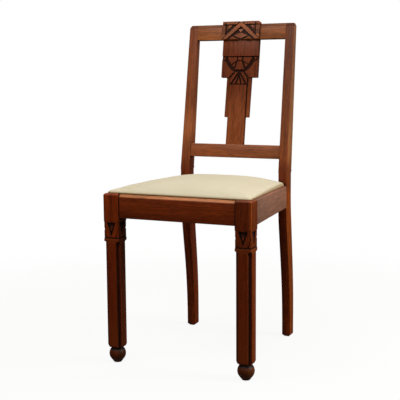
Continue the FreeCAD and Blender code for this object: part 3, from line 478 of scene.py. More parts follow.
# painted shade with joint dirt where the front rail meets the leg blocks
railSeams = (
    (-0.1800, -0.1630, 0.3, 0.5, 0.85),
    (0.1630, 0.1800, 0.3, 0.5, 0.85),
)
crestSeams = (
    (-0.0470, -0.0375, 0.8960, 0.9137, 0.70),  # beside the stiles
    (0.0405, 0.0485, 0.8960, 0.9137, 0.70),
    (-0.0375, -0.0200, 0.9095, 0.9137, 0.70),  # under the top band
    (0.0250, 0.0405, 0.9095, 0.9137, 0.70),
    (-0.0520, -0.0440, 0.9110, 0.9185, 0.45),  # in the corners
    (0.0450, 0.0530, 0.9110, 0.9185, 0.45),
    (-0.0180, -0.0150, 0.9137, 0.9200, 0.45),  # across the top band
    (0.0205, 0.0230, 0.9137, 0.9200, 0.45),
    (-0.0575, -0.0470, 0.8840, 0.9105, 0.38),  # over the stiles
    (0.0488, 0.0600, 0.8840, 0.9105, 0.34),
    (0.0488, 0.0600, 0.8840, 0.8985, 0.36),
)
# painted shadow of the crest block, with joint dirt, on the crest rail at its left
besideBlock = ((-0.0595, -0.0560, 0.8765, 0.9045, 0.55),)
# side rails: stain greyed in part as a painted sheen, with a higher shine
sideRail = {"stain": (149, 98, 75), "shine": 0.5, "dark": 0.55, "light": 1.45, "upWearAndLight": 0.8,
            "upWearAndLightTo": (124, 62, 30), "frontTint": (0.76, 0.90, 0.98), "rearTint": (1.28, 1.30, 1.24)}
post = {"upWearAndLight": 0.0, "dark": 0.4, "light": 1.6, "shine": 0.17, "upperBlend": (0.42, 0.58), "shortest": 0.0005,
        "bends": ((0.489, 0.911, 0.0686), (0.361, 0.125, 0.0384))}
frontLeg = {"carved": ((0.3272, 0.3356), (0.3395, 0.3852)), "cuts": legCuts, "zones": legZones,
            "shine": 0.18, "upWearAndLight": 0.4, "upWearAndLightTo": (150, 80, 40), "dark": 0.28, "light": 1.72}
oakPieces = {
    # faces to the right: painted shade on the left leg, painted light on the right leg, painted light and
    # sheen on the right post
    "front_leg_left": {**frontLeg, "seed": 1.0, "stain": (133, 47, 3), "corner": 0.15,
                       "rightLightTint": (0.62, 0.82, 0.85)},
    "front_leg_right": {**frontLeg, "seed": 2.0, "stain": (115, 42, 4), "corner": 0.8,
                        "rightLightTint": (1.22, 1.56, 1.6)},
    "rear_post_left": {**post, "seed": 3.0, "zones": leftZones},
    "rear_post_right": {**post, "seed": 4.0, "zones": rightZones, "upperStain": (130, 68, 34),
                        "rightLightTint": (1.28, 1.85, 2.1)},
    "crest_rail": {"grain": "x", "seed": 5.0, "upperStain": (156, 88, 42), "upWearAndLight": 0.0, "zones": topBevel,
                   "seams": besideBlock},
    "crest_block": {"grain": "x", "seed": 6.0, "edge": 0.0004, "carved": ((0.0, 1.0),), "cuts": crestCuts,
                    "seams": crestSeams},
    "back_splat": {"grain": "raked", "seed": 7.0, "edge": 0.0005, "carved": ((0.734, 0.824),),
                   "cuts": splatCuts, "seams": splatSeams, "stain": (146, 76, 40), "upperStain": (110, 48, 17),
                   "upperBlend": (0.64, 0.76), "shine": 0.1},
    "cross_rail": {"grain": "x", "seed": 8.0, "upperBlend": (0.3, 0.4), "upperStain": (152, 82, 42)},
    "front_seat_rail": {"grain": "x", "seed": 9.0, "stain": (120, 45, 7), "shine": 0.18, "upWearAndLight": 0.88,
                        "upWearAndLightTo": (206, 136, 86), "edge": 0.0022, "seams": railSeams},
    "side_seat_rail_left": {**sideRail, "grain": "left", "seed": 10.0},
    "side_seat_rail_right": {**sideRail, "grain": "right", "seed": 11.0},
    "rear_seat_rail": {"grain": "x", "seed": 12.0},
}
bareOak = {**oak, "upWearAndLight": 0.0, "stain": (150, 112, 72), "upperStain": (150, 112, 72), "cloudy": 0.08,
           "rubbed": 0.1, "wax": 0.0, "shine": 0.25, "rough": 0.55, "shadeAndWaxAmount": 0.6, "darkWaxAndShade": (60, 40, 24)}
bareOakPieces = {
    "corner_block_front_left": {"grain": "left", "seed": 13.0},
    "corner_block_front_right": {"grain": "right", "seed": 14.0},
    "corner_block_rear_left": {"grain": "x", "seed": 15.0},
    "corner_block_rear_right": {"grain": "x", "seed": 16.0},
}
bareBeech = {**bareOak, "stain": (196, 158, 116), "upperStain": (196, 158, 116), "bands": 90.0, "pores": 0.25,
             "dark": 0.85, "light": 1.12}
bareBeechPieces = {
    "seat_frame_front": {"grain": "x", "seed": 17.0},
    "seat_frame_back": {"grain": "x", "seed": 18.0},
    "seat_frame_left": {"grain": "left", "seed": 19.0},
    "seat_frame_right": {"grain": "right", "seed": 20.0},
}


# Front legs: notches, the foot of the shaft and the sole of the ball drawn to the photograph
leg = {"moves": ((0.0112, 0.0132), (0.0202, 0.0219), (0.0127, 0.0185)), "near": 0.0004,
       "shaft": (0.0455, 0.3335), "footBelow": 0.06, "lower": 0.0044, "neck": 0.0125, "neckNear": 0.0002,
       "axis": 0.001, "sole": 0.0104, "soleTop": 0.0080, "soleWide": 0.01618,
       "stops": (0.3280, 0.3305, 0.3335, 0.3346), "bandTop": 0.3420, "bandNear": 0.0003,
       "bandLower": 0.0020}


def movedOff(off):
    for old, new in leg["moves"]:
        if abs(abs(off) - old) < leg["near"]:
            return math.copysign(new, off)
    return off


def addNotchStops(piece, middle):
    inner, outer = leg["moves"][0][1], leg["moves"][1][1]
    size = outer - inner
    half = inner + size / 2
    low, high = leg["stops"][0], leg["stops"][-1]
    before = len(piece.data.vertices)
    pickOnly(piece)
    bpy.ops.object.mode_set(mode="EDIT")
    for across in (-1, 1):
        for along in (-1, 1):  # the notches stop short of the band
            spot = (middle.x + across * half, middle.y + along * half, (low + high) / 2)
            bpy.ops.mesh.primitive_cube_add(size=1, location=spot, scale=(size, size, high - low))
    leaveEdit()
    for vertex in piece.data.vertices[before:]:  # and slope up and out
        if vertex.co.z < (low + high) / 2:
            offs = (abs(vertex.co.x - middle.x), abs(vertex.co.y - middle.y))
            vertex.co.z = leg["stops"][sum(off > half for off in offs)]


def shapeLeg(piece, look):
    middle = look["middle"]
    low, high = leg["shaft"]
    for vertex in piece.data.vertices:
        off = Vector((vertex.co.x - middle.x, vertex.co.y - middle.y))
        if vertex.co.z < leg["soleTop"] and off.length > leg["axis"]:
            share = vertex.co.z / leg["soleTop"]
            off *= (leg["sole"] * (1 - share) + leg["soleWide"] * share) / off.length
        elif low < vertex.co.z < high:
            if abs(off.length - leg["neck"]) > leg["neckNear"]:
                off = Vector((movedOff(off.x), movedOff(off.y)))
            if vertex.co.z < leg["footBelow"]:
                vertex.co.z -= leg["lower"]
        elif abs(vertex.co.z - leg["bandTop"]) < leg["bandNear"]:
            vertex.co.z -= leg["bandLower"]
        vertex.co.x = middle.x + off.x
        vertex.co.y = middle.y + off.y
    addNotchStops(piece, middle)


def lift(vertex, amount):
    vertex.co = vertex.co + upBack * amount


# Splat: pleats spread to the panel's corners, arcs drawn in, carving raised, board wider and leaning
splat = {"relief": 0.0042, "spring": 0.7735, "foot": 0.7395, "footLow": 0.7390, "footHigh": 0.7405,
         "pleatWide": 0.0205, "spread": 0.36, "widest": 0.0252, "lift": 0.0016,
         "arcMiddle": (0.00324, 0.8269), "arcRadius": 0.0545, "arcZone": (0.7730, 0.8080),
         "arcTop": 0.8098, "arcFoot": 0.7737, "near": 0.0008, "drawIn": 0.0070, "easeIn": 0.3,
         "raise": 0.0020, "raiseFrom": 0.762, "raiseOver": 0.030, "raiseTo": 0.8425,
         "stepEdge": 0.7813, "shoulder": 0.8903, "shoulderNear": 0.0007,
         "wider": 1.022, "step": 0.7820, "stepHalf": 0.038, "upperShift": 0.0011,
         "pleatHalf": 0.0355, "pleats": 0.033, "lean": 0.0125, "leanFrom": 0.743, "leanMost": -0.0013}


def spreadPleats(vertex):
    place = vertex.co
    side = abs(place.x)
    middleX, middleZ = splat["arcMiddle"]
    if splat["footLow"] < place.z < splat["spring"] and side < splat["pleatWide"]:
        drop = (splat["spring"] - place.z) / (splat["spring"] - splat["foot"])
        side = min(side * (1 + splat["spread"] * drop), splat["widest"])
    if splat["footLow"] < place.z < splat["footHigh"]:
        lift(vertex, splat["lift"])
    fromArc = Vector((side - middleX, place.z - middleZ))
    low, high = splat["arcZone"]
    if low < place.z < high and abs(fromArc.length - splat["arcRadius"]) < splat["near"]:
        share = min(1.0, (splat["arcTop"] - place.z) / (splat["arcTop"] - splat["arcFoot"]))
        inward = splat["drawIn"] * min(1, share / splat["easeIn"]) * (1 - share ** 3)
        fromArc *= 1 - inward / fromArc.length
        side = middleX + fromArc.x
        lift(vertex, (middleZ + fromArc.y - place.z) / upBack.z)
    vertex.co.x = math.copysign(side, place.x)


def raiseCarving(vertex, face):
    up = upBack.dot(vertex.co)
    share = max(0.0, min(1.0, (up - splat["raiseFrom"]) / splat["raiseOver"]))
    onFace = face - outBack.dot(vertex.co) < splat["relief"]
    atStep = abs(up - splat["stepEdge"]) < splat["near"]
    if up < splat["raiseTo"] and onFace and not atStep:
        lift(vertex, share * splat["raise"])
    elif abs(up - splat["shoulder"]) < splat["shoulderNear"]:
        lift(vertex, splat["raise"])


def leanBoard(vertex):
    above = vertex.co.z - splat["leanFrom"]
    shift = max(splat["leanMost"], splat["lean"] * above)
    if above > 0 and abs(vertex.co.x) < splat["pleatHalf"]:
        shift = splat["upperShift"] * min(1.0, above / splat["pleats"])
    elif upBack.dot(vertex.co) > splat["step"] or abs(vertex.co.x) > splat["stepHalf"]:
        shift = splat["upperShift"]
    vertex.co.x = vertex.co.x * splat["wider"] + shift


def shapeSplat(piece, look):
    for vertex in piece.data.vertices:
        if look["face"] - outBack.dot(vertex.co) <= splat["relief"]:
            spreadPleats(vertex)
        raiseCarving(vertex, look["face"])
        leanBoard(vertex)


# Crest block: its relief drawn to the right
crest = {"relief": 0.0052, "edge": 0.057, "edgeShift": 0.0008, "shift": 0.0024, "within": 0.020,
         "stileFoot": 0.8895, "stile": 0.0485, "stileWide": 0.008, "foot": 0.893, "footRaise": 0.0018}


def shapeCrest(piece, look):
    for vertex in piece.data.vertices:
        place = vertex.co
        if look["face"] - outBack.dot(place) > crest["relief"]:
            continue
        share = min(1.0, (place.x + crest["edge"]) / crest["within"])
        shift = crest["edgeShift"] + share * (crest["shift"] - crest["edgeShift"])
        if place.x > crest["stile"] - crest["stileWide"] and place.z > crest["stileFoot"]:
            toStile = abs(place.x - crest["stile"]) / crest["stileWide"]
            shift = crest["shift"] * min(1.0, toStile)
        vertex.co.x = place.x + shift
        if upBack.dot(place) < crest["foot"]:
            lift(vertex, crest["footRaise"])


# Posts: a little wider above the seat. Posts and crest rail: a taller bevel on top
postShape = {"above": 0.492, "wider": 0.0007, "sideFace": 0.3}
topShape = {"bevelFoot": 0.9267, "bevelTop": 0.9337, "taller": 0.0032, "least": 0.03}


def raiseTop(piece):
    bevel = topShape["bevelTop"] - topShape["bevelFoot"]
    for vertex in piece.data.vertices:
        share = (upBack.dot(vertex.co) - topShape["bevelFoot"]) / bevel
        if share > topShape["least"]:
            lift(vertex, share * topShape["taller"])


def shapePost(piece, look):
    for vertex in piece.data.vertices:
        if vertex.co.z > postShape["above"] and abs(vertex.normal.x) > postShape["sideFace"]:
            vertex.co.x += math.copysign(postShape["wider"], vertex.normal.x)
    raiseTop(piece)


# Rails: the back rails' edges higher, and the side rails lower towards the rear
rails = {"edge": 0.0012, "crestRaise": 0.0016, "crossRaise": 0.0013, "deeper": 0.0016,
         "deeperRear": 0.0036, "topFrom": 0.455, "fall": 0.0080}


def shapeCrestRail(piece, look):
    raiseTop(piece)
    bottom = min(upBack.dot(vertex.co) for vertex in piece.data.vertices)
    for vertex in piece.data.vertices:
        if upBack.dot(vertex.co) < bottom + rails["edge"]:
            lift(vertex, rails["crestRaise"])


def shapeCrossRail(piece, look):
    top = max(upBack.dot(vertex.co) for vertex in piece.data.vertices)
    for vertex in piece.data.vertices:
        if upBack.dot(vertex.co) > top - rails["edge"]:
            lift(vertex, rails["crossRaise"])


def shapeSideRail(piece, look):
    bottom = min(vertex.co.z for vertex in piece.data.vertices)
    front = min(vertex.co.y for vertex in piece.data.vertices)
    rear = max(vertex.co.y for vertex in piece.data.vertices)
    for vertex in piece.data.vertices:
        share = (vertex.co.y - front) / (rear - front)
        if vertex.co.z < bottom + rails["edge"]:
            vertex.co.z -= rails["deeper"] + share * rails["deeperRear"]
        elif vertex.co.z > rails["topFrom"]:  # the top falls to the rear
            vertex.co.z -= share * rails["fall"]


shapers = {"front_leg_left": shapeLeg, "front_leg_right": shapeLeg, "back_splat": shapeSplat,
           "rear_post_left": shapePost, "rear_post_right": shapePost, "crest_rail": shapeCrestRail,
           "crest_block": shapeCrest, "cross_rail": shapeCrossRail, "side_seat_rail_left": shapeSideRail,
           "side_seat_rail_right": shapeSideRail}
sharpFrom = math.radians(28)
smoothBelow = math.radians(32)


def softenEdges(piece, look):
    editAll(piece)
    bpy.ops.mesh.select_all(action="DESELECT")
    bpy.ops.mesh.select_mode(type="EDGE")
    bpy.ops.mesh.edges_select_sharp(sharpness=sharpFrom)
    leaveEdit()
    weights = piece.data.attributes.new("bevel_weight_edge", "FLOAT", "EDGE")
    for edge in piece.data.edges:
        first, second = [piece.data.vertices[i].co for i in edge.vertices]
        crisp = any(low < min(first.z, second.z) and max(first.z, second.z) < high
                    for low, high in look["carved"])  # knife cuts
        if edge.select and not crisp and (first - second).length > look["shortest"]:
            weights.data[edge.index].value = 1.0
    applyModifier(piece, "BEVEL", width=look["edge"], segments=2, limit_method="WEIGHT",
                  use_clamp_overlap=False)


def makeWoodPiece(nodeName, look, body):
    piece = mergedCopy(nodeName, nodeName + "_wood")
    low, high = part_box(nodeName)
    face = max(outBack.dot(vertex.co) for vertex in piece.data.vertices)
    look = {**look, "middle": (low + high) / 2, "face": face}
    if nodeName in shapers:
        shapers[nodeName](piece, look)
    softenEdges(piece, look)
    pickOnly(piece)
    bpy.ops.object.shade_smooth_by_angle(angle=smoothBelow)
    setMaterial(piece, makeWood(nodeName + "Finish", look))
    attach(piece, body)
    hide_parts(nodeName)


for plainLook, pieces, slot, body in (
    (oak, oakPieces, "stained_oak", "chair_frame"),
    (bareOak, bareOakPieces, "bare_oak", "chair_frame"),
    (bareBeech, bareBeechPieces, "bare_beech", "drop_in_seat"),
):
    for nodeName, own in pieces.items():
        makeWoodPiece(nodeName, {**plainLook, **own}, body)
    print(slot, "done,", len(pieces), "pieces")


# Screws and tacks: drawn steel with a dull skin
steel = {"shine": 0.5, "blotch": 260.0, "drawn": (900, 900, 2600), "rusty": (0.5, 0.68), "rustRough": 0.5,
         "relief": 0.15, "reliefDepth": 0.0001}
steelLooks = {
    "corner_block_screws": {"colour": (128, 122, 112), "rust": (74, 52, 38), "rough": 0.38, "amount": 0.45},
    "cover_tacks": {"colour": (70, 72, 78), "rust": (58, 44, 36), "rough": 0.42, "amount": 0.3},
}


def makeSteel(name, look):
    material, tree, shader = startMaterial(name, Specular_IOR_Level=steel["shine"])
    place = placeOn(tree)
    blotch = noiseAt(place, steel["blotch"], 4.0, 0.65)
    drawn = noiseAt(stretched(place, steel["drawn"]), 1.0)
    rust = times(remap(blotch, *steel["rusty"]), look["amount"])
    colour = mixColours(rust, linear(*look["colour"]), linear(*look["rust"]))
    bare = maths("SUBTRACT", 1.0, rust)
    rough = timesPlus(rust, steel["rustRough"], look["rough"])
    fillSockets(shader, {"Metallic": bare, "Roughness": rough})
    dress(shader, colour, drawn, steel["relief"], steel["reliefDepth"])
    return material


for nodeName, look in steelLooks.items():
    setMaterial(nodes[nodeName], makeSteel(nodeName + "Finish", look))
print("steel done")


# Plain weave on a map in metres: threads over and under, with thick and thin yarn
weaveLook = {"rough": 0.9, "shine": 0.2, "sheenRough": 0.5, "soilScale": 9.0, "soilRange": (0.35, 0.75),
             "depth": 0.6, "drift": 60.0, "push": 0.0016, "cross": (-0.25, 0.25),
             "slubs": ((520, 14, 1), (14, 520, 1)), "gap": (0.45, 0.1), "yarn": (0.3, 0.7)}


def makeWeaveGroup():
    group, given, out = startGroup("plainWeave", ("Vector", "Threads"), ("Height", "Gap", "Yarn"))
    drift = noiseAt(given["Vector"], weaveLook["drift"])
    push = times(maths("SUBTRACT", drift, 0.5), weaveLook["push"])
    waves = []
    for along in splitUp(given["Vector"])[:2]:
        threads = times(maths("ADD", along, push), given["Threads"])
        waves.append(maths("SINE", times(threads, math.pi)))
    warp, weft = [maths("ABSOLUTE", wave) for wave in waves]
    top = remap(times(*waves), *weaveLook["cross"])
    height = addNode(group, "Mix", {0: top, 2: warp, 3: weft}, data_type="FLOAT").outputs[0]
    slubs = [noiseAt(stretched(given["Vector"], scale), 1.0, 2.0, 0.6)
             for scale in weaveLook["slubs"]]
    yarn = addNode(group, "Mix", {0: top, 2: slubs[0], 3: slubs[1]}, data_type="FLOAT").outputs[0]
    gap = remap(height, *weaveLook["gap"])
    fillSockets(out, {"Height": height, "Gap": gap, "Yarn": yarn})
    return group


plainWeave = makeWeaveGroup()


def yarnColours(weave, look):
    plain = linear(*look["colour"])
    thick = remap(weave["Yarn"], *weaveLook["yarn"])
    return mixColours(thick, shade(plain, look["dark"]), shade(plain, look["light"]))


def makeCloth(name, look):
    plain = {"Roughness": weaveLook["rough"], "Specular_IOR_Level": weaveLook["shine"],
             "Sheen_Weight": look["sheen"], "Sheen_Roughness": weaveLook["sheenRough"]}
    material, tree, shader = startMaterial(name, **plain)
    place = placeOn(tree, "UV")
    weave = placeGroup(tree, plainWeave, Vector=place, Threads=look["threads"])
    gaps = times(weave["Gap"], look["gaps"])
    soiled = remap(noiseAt(place, weaveLook["soilScale"]), *weaveLook["soilRange"], 0.0, look["soiled"])
    colour = mixColours(gaps, yarnColours(weave, look), linear(*look["gapColour"]))
    colour = layOver(soiled, colour, look["soil"])
    if "rim" in look:  # painted shade, with soiling, where it meets the wood
        shadeByWood = remap(splitUp(placeOn(tree))[2], *look["rim"], 0.0, look["rimAmount"])
        colour = layOver(shadeByWood, colour, look["rimTo"])
    dress(shader, colour, weave["Height"], look["relief"], weaveLook["depth"] / look["threads"])
    return material


# Seat pad: cloth drawn over stuffing, down the sides of the loose frame and under it
cushion = {"overFront": 0.0018, "overSide": 0.0012, "taper": 0.118, "corner": 0.010, "wallCorner": 0.009,
           "edgeRise": 0.0052, "rearThin": 0.8, "rearPower": 10, "fallPower": 8,
           "roll": 0.0042, "rollReach": 0.0090, "cornerReach": 6.0, "cornerPower": 4,
           "crown": 0.0215, "sidePower": 3.42, "endPower": 3.96, "crownAt": 0.40,
           "cells": 56, "crowding": 1.35, "wellGap": 0.0006, "wellOut": 0.0002, "fold": 0.0016,
           "turnUnder": 0.026, "thick": 0.0009, "pressure": 4.0, "frames": 20, "heldRise": 0.0015,
           "low": 0.0014, "lowReach": 0.03, "mostMove": 0.0045,
           "lump": 0.0005, "lumpScale": 22.0, "lumpFrom": 0.006}
rimRings = (  # how far out, share of the edge's rise, share of the side rails' fall
    (0.0018, 0.73, 0.25),
    (0.0025, 0.44, 0.55),
    (0.0027, 0.19, 0.8),
    (0.0023, 0.04, 1.0),
)
clothLook = {"colour": (220, 210, 182), "dark": 0.93, "light": 1.05, "threads": 950.0, "gaps": 0.35,
             "gapColour": (150, 134, 98), "soiled": 0.12, "soil": (196, 178, 134), "relief": 0.45,
             "sheen": 0.08, "rim": (0.4680, 0.4612), "rimAmount": 0.7, "rimTo": (176, 144, 88)}
seatLow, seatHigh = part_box("seat_cover")
frontWoodLow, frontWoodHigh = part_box("seat_frame_front")
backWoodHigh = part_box("seat_frame_back")[1]
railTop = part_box("front_seat_rail")[1].z
sideLow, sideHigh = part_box("side_seat_rail_right")
coverSkin = frontWoodLow.z - seatLow.z
topPlan = {"front": seatLow.y - cushion["overFront"], "back": seatHigh.y,
           "half": seatHigh.x + cushion["overSide"], "corner": cushion["corner"]}
wallPlan = {"front": frontWoodLow.y - coverSkin, "back": backWoodHigh.y + coverSkin,
            "half": frontWoodHigh.x + coverSkin, "corner": cushion["wallCorner"]}


def drawnIn(plan, amount):
    return {"front": plan["front"] + amount, "back": plan["back"] - amount, "half": plan["half"] - amount,
            "corner": plan["corner"]}


def halfAt(plan, y):
    return plan["half"] - cushion["taper"] * (y - plan["front"])


def planPoint(plan, across, along):
    y = plan["front"] + (along + 1) / 2 * (plan["back"] - plan["front"])
    half = halfAt(plan, y)
    sideGap = half * (1 - abs(across))
    endGap = (plan["back"] - plan["front"]) / 2 * (1 - abs(along))
    edgeGap = min(sideGap, endGap)
    corner = plan["corner"]
    if sideGap < corner and endGap < corner:  # a square corner becomes a round one
        u = 1 - sideGap / corner
        v = 1 - endGap / corner
        pull = max(u, v) / max(math.hypot(u, v), 1e-9)
        sideGap = corner - corner * u * pull
        endGap = corner - corner * v * pull
        y = plan["front"] + endGap if along < 0 else plan["back"] - endGap
        half = halfAt(plan, y)
    return math.copysign(half - sideGap, across), y, edgeGap


def riseAt(across, along):  # thinner at the rear corners
    toCorner = (along + 1) / 2 * abs(across)
    return cushion["edgeRise"] * (1 - cushion["rearThin"] * toCorner ** cushion["rearPower"])


def fallAt(across, y):  # the rim follows the side rails
    share = (y - sideLow.y) / (sideHigh.y - sideLow.y)
    return rails["fall"] * share * abs(across) ** cushion["fallPower"]


def padHeight(across, along, edgeGap):
    share = (along + 1) / 2
    peak = cushion["crownAt"]
    end = (peak - share) / peak if share < peak else (share - peak) / (1 - peak)
    dome = (1 - abs(across) ** cushion["sidePower"]) * (1 - end ** cushion["endPower"])
    toCorner = (share * abs(across)) ** cushion["cornerPower"]
    reach = cushion["rollReach"] * (1 + cushion["cornerReach"] * toCorner)
    roll = cushion["roll"] * (1 - math.exp(-edgeGap / reach))
    return railTop + riseAt(across, along) + roll + cushion["crown"] * dome


def crowded(value):  # cells lie closer at the rim
    return math.sin(value * cushion["crowding"]) / math.sin(cushion["crowding"])


def mapInMetres(piece):
    uvs = piece.data.uv_layers.active or piece.data.uv_layers.new()
    for loop in piece.data.loops:
        place = piece.data.vertices[loop.vertex_index].co
        drop = max(0.0, railTop - place.z)
        out = Vector((place.x, place.y, 0)).normalized() * drop
        uvs.data[loop.index].uv = (place.x + out.x, place.y + out.y)


def swell(piece):
    start = [vertex.co.copy() for vertex in piece.data.vertices]
    cloth = addModifier(piece, "CLOTH")
    settings = cloth.settings
    settings.quality = 6
    settings.mass = 0.25
    settings.tension_stiffness = 25.0
    settings.compression_stiffness = 25.0
    settings.shear_stiffness = 12.0
    settings.bending_stiffness = 2.0
    settings.use_pressure = True
    settings.uniform_pressure_force = cushion["pressure"]
    settings.vertex_group_mass = "held"
    settings.effector_weights.gravity = 0.0
    cloth.point_cache.frame_end = cushion["frames"]
    for step in range(cushion["frames"]):
        scene.frame_set(step + 1)
    bpy.ops.object.modifier_apply(modifier=cloth.name)
    scene.frame_set(1)
    moved = 0.0
    for vertex, old in zip(piece.data.vertices, start):
        way = vertex.co - old
        moved = max(moved, way.length)
        if way.length > cushion["mostMove"]:
            vertex.co = old + way.normalized() * cushion["mostMove"]
    print("seat pad swelled by", round(moved * 1000, 1), "mm")


def drawDown(pad, places):
    rings = [(drawnIn(topPlan, -out), railTop, share, sink) for out, share, sink in rimRings]
    rings += [
        (drawnIn(wallPlan, -cushion["wellOut"]), railTop - cushion["wellGap"], 0.0, 1.0),
        (wallPlan, seatLow.z + cushion["fold"], 0.0, 0.0),
        (drawnIn(wallPlan, cushion["fold"]), seatLow.z, 0.0, 0.0),
        (drawnIn(wallPlan, cushion["turnUnder"]), seatLow.z, 0.0, 0.0),
    ]
    pickOnly(pad)
    bpy.ops.object.mode_set(mode="EDIT")
    bpy.ops.mesh.select_all(action="DESELECT")
    bpy.ops.mesh.select_mode(type="EDGE")
    bpy.ops.mesh.select_non_manifold()
    for plan, height, share, sink in rings:
        bpy.ops.mesh.extrude_edges_move()
        leaveEdit()
        nextPlaces = {}
        for vertex in pad.data.vertices:
            if vertex.select:
                across, along = places[vertex.co.to_tuple(6)]
                x, y, edgeGap = planPoint(plan, across, along)
                vertex.co = (x, y, height + share * riseAt(across, along) - sink * fallAt(across, y))
                nextPlaces[vertex.co.to_tuple(6)] = (across, along)
        places = nextPlaces
        bpy.ops.object.mode_set(mode="EDIT")
    bpy.ops.mesh.select_all(action="SELECT")
    bpy.ops.mesh.normals_make_consistent(inside=False)
    leaveEdit()


def makeSeatPad():
    cells = cushion["cells"]
    pad = addGrid("seat_pad", cells, cells)
    places = {}
    for vertex in pad.data.vertices:
        across, along = crowded(vertex.co.x), crowded(vertex.co.y)
        x, y, edgeGap = planPoint(topPlan, across, along)
        lower = cushion["low"] * min(1, edgeGap / cushion["lowReach"])
        vertex.co = (x, y, padHeight(across, along, edgeGap) - lower)
        if edgeGap < 1e-6:
            places[vertex.co.to_tuple(6)] = (across, along)
    drawDown(pad, places)
    held = pad.vertex_groups.new(name="held")
    heldBelow = railTop + cushion["edgeRise"] + cushion["heldRise"]
    for vertex in pad.data.vertices:
        if vertex.index >= cells * cells or vertex.co.z < heldBelow:
            held.add([vertex.index], 1.0, "REPLACE")
    swell(pad)
    for vertex in pad.data.vertices:
        if vertex.co.z > railTop + cushion["lumpFrom"]:
            vertex.co.z += cushion["lump"] * noise.noise(vertex.co * cushion["lumpScale"])
    mapInMetres(pad)
    applyModifier(pad, "SUBSURF", levels=1, render_levels=1)
    applyModifier(pad, "SOLIDIFY", thickness=cushion["thick"], offset=-1.0)
    pickOnly(pad)
    bpy.ops.object.shade_smooth()
    setMaterial(pad, makeCloth("creamCloth", clothLook))
    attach(pad, "drop_in_seat")
    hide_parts("seat_cover")
    print("seat pad done,", len(pad.data.polygons), "faces")


makeSeatPad()


# Stuffing, shown only where the cover is cut away
stuffing = {"colour": (128, 100, 62), "dark": 0.6, "light": 1.3, "shrink": 0.003, "under": 0.0045,
            "voxel": 0.006, "tangle": 160.0, "tangleShare": 0.6, "strands": (700, 90, 400),
            "strandTurn": (0.4, 0.2, 0.7), "strandShare": 0.4, "fibres": (0.35, 0.65), "relief": 0.8,
            "reliefDepth": 0.002}


def makeFibre(name, look):
    material, tree, shader = startMaterial(name, Roughness=0.95, Specular_IOR_Level=0.15)
    place = placeOn(tree)
    tangle = noiseAt(place, look["tangle"], 5.0, 0.7)
    strands = noiseAt(stretched(place, look["strands"], look["strandTurn"]), 1.0)
    both = timesPlus(tangle, look["tangleShare"], times(strands, look["strandShare"]))
    fibre = linear(*look["colour"])
    share = remap(both, *look["fibres"])
    colour = mixColours(share, shade(fibre, look["dark"]), shade(fibre, look["light"]))
    dress(shader, colour, both, look["relief"], look["reliefDepth"])
    return material


def makeStuffing():
    pad = mergedCopy("seat_stuffing", "stuffing_pad")
    applyModifier(pad, "REMESH", mode="VOXEL", voxel_size=stuffing["voxel"])
    applyModifier(pad, "SMOOTH", factor=0.5, iterations=4)
    editAll(pad)
    bpy.ops.transform.shrink_fatten(value=-stuffing["shrink"])
    leaveEdit()
    length = topPlan["back"] - topPlan["front"]
    for vertex in pad.data.vertices:
        along = 2 * (vertex.co.y - topPlan["front"]) / length - 1
        half = halfAt(topPlan, vertex.co.y)
        across = vertex.co.x / half
        edgeGap = min(half * (1 - abs(across)), length / 2 * (1 - abs(along)))
        vertex.co.z = min(vertex.co.z, padHeight(across, along, edgeGap) - stuffing["under"])
    pickOnly(pad)
    bpy.ops.object.shade_smooth()
    setMaterial(pad, makeFibre("stuffingFibre", stuffing))
    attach(pad, "drop_in_seat")
    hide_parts("seat_stuffing")
    print("stuffing done")


makeStuffing()


# Hessian stretched over the webbing
hessian = {"colour": (168, 132, 84), "dark": 0.75, "light": 1.2, "threads": 420.0, "gaps": 0.75, "cells": 24,
           "gapColour": (58, 42, 26), "soiled": 0.2, "soil": (120, 90, 56), "relief": 0.9, "sheen": 0.0}


def makeHessian():
    low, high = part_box("hessian_sheet")
    sheet = addGrid("hessian_cloth", hessian["cells"], hessian["cells"])
    plan = {"front": low.y, "back": high.y, "half": high.x, "corner": cushion["wallCorner"]}
    middle = (low.z + high.z) / 2
    for vertex in sheet.data.vertices:
        x, y, edgeGap = planPoint(plan, vertex.co.x, vertex.co.y)
        vertex.co = (x, y, middle)
    mapInMetres(sheet)
    applyModifier(sheet, "SOLIDIFY", thickness=high.z - low.z, offset=0.0)
    setMaterial(sheet, makeCloth("hessianCloth", hessian))
    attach(sheet, "drop_in_seat")
    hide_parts("hessian_sheet")


# Webbing strips, interlaced: each passes over one crossing strip and under the next
webbing = {"count": 3, "width": 0.048, "thick": 0.0015, "gap": 0.0001, "ease": 0.012, "steps": 96,
           "across": 4, "colour": (176, 142, 96), "dark": 0.75, "light": 1.2, "threads": 520.0,
           "gaps": 0.6, "gapShade": 0.25,
           "stripe": (96, 60, 38), "stripeAt": 0.015, "stripeHalf": 0.0022, "striped": 0.8,
           "relief": 0.8, "reliefDepth": 0.0008, "smooth": math.radians(40)}


def makeJute(name, look):
    material, tree, shader = startMaterial(name, Roughness=0.92, Specular_IOR_Level=0.15)
    place = placeOn(tree, "UV")
    weave = placeGroup(tree, plainWeave, Vector=place, Threads=look["threads"])
    offMiddle = maths("ABSOLUTE", splitUp(place)[0])
    offStripe = maths("ABSOLUTE", maths("SUBTRACT", offMiddle, look["stripeAt"]))
    stripe = times(maths("LESS_THAN", offStripe, look["stripeHalf"]), look["striped"])
    gaps = times(weave["Gap"], look["gaps"])
    colour = mixColours(stripe, yarnColours(weave, look), linear(*look["stripe"]))
    colour = mixColours(gaps, colour, shade(linear(*look["colour"]), look["gapShade"]))
    dress(shader, colour, weave["Height"], look["relief"], look["reliefDepth"])
    return material


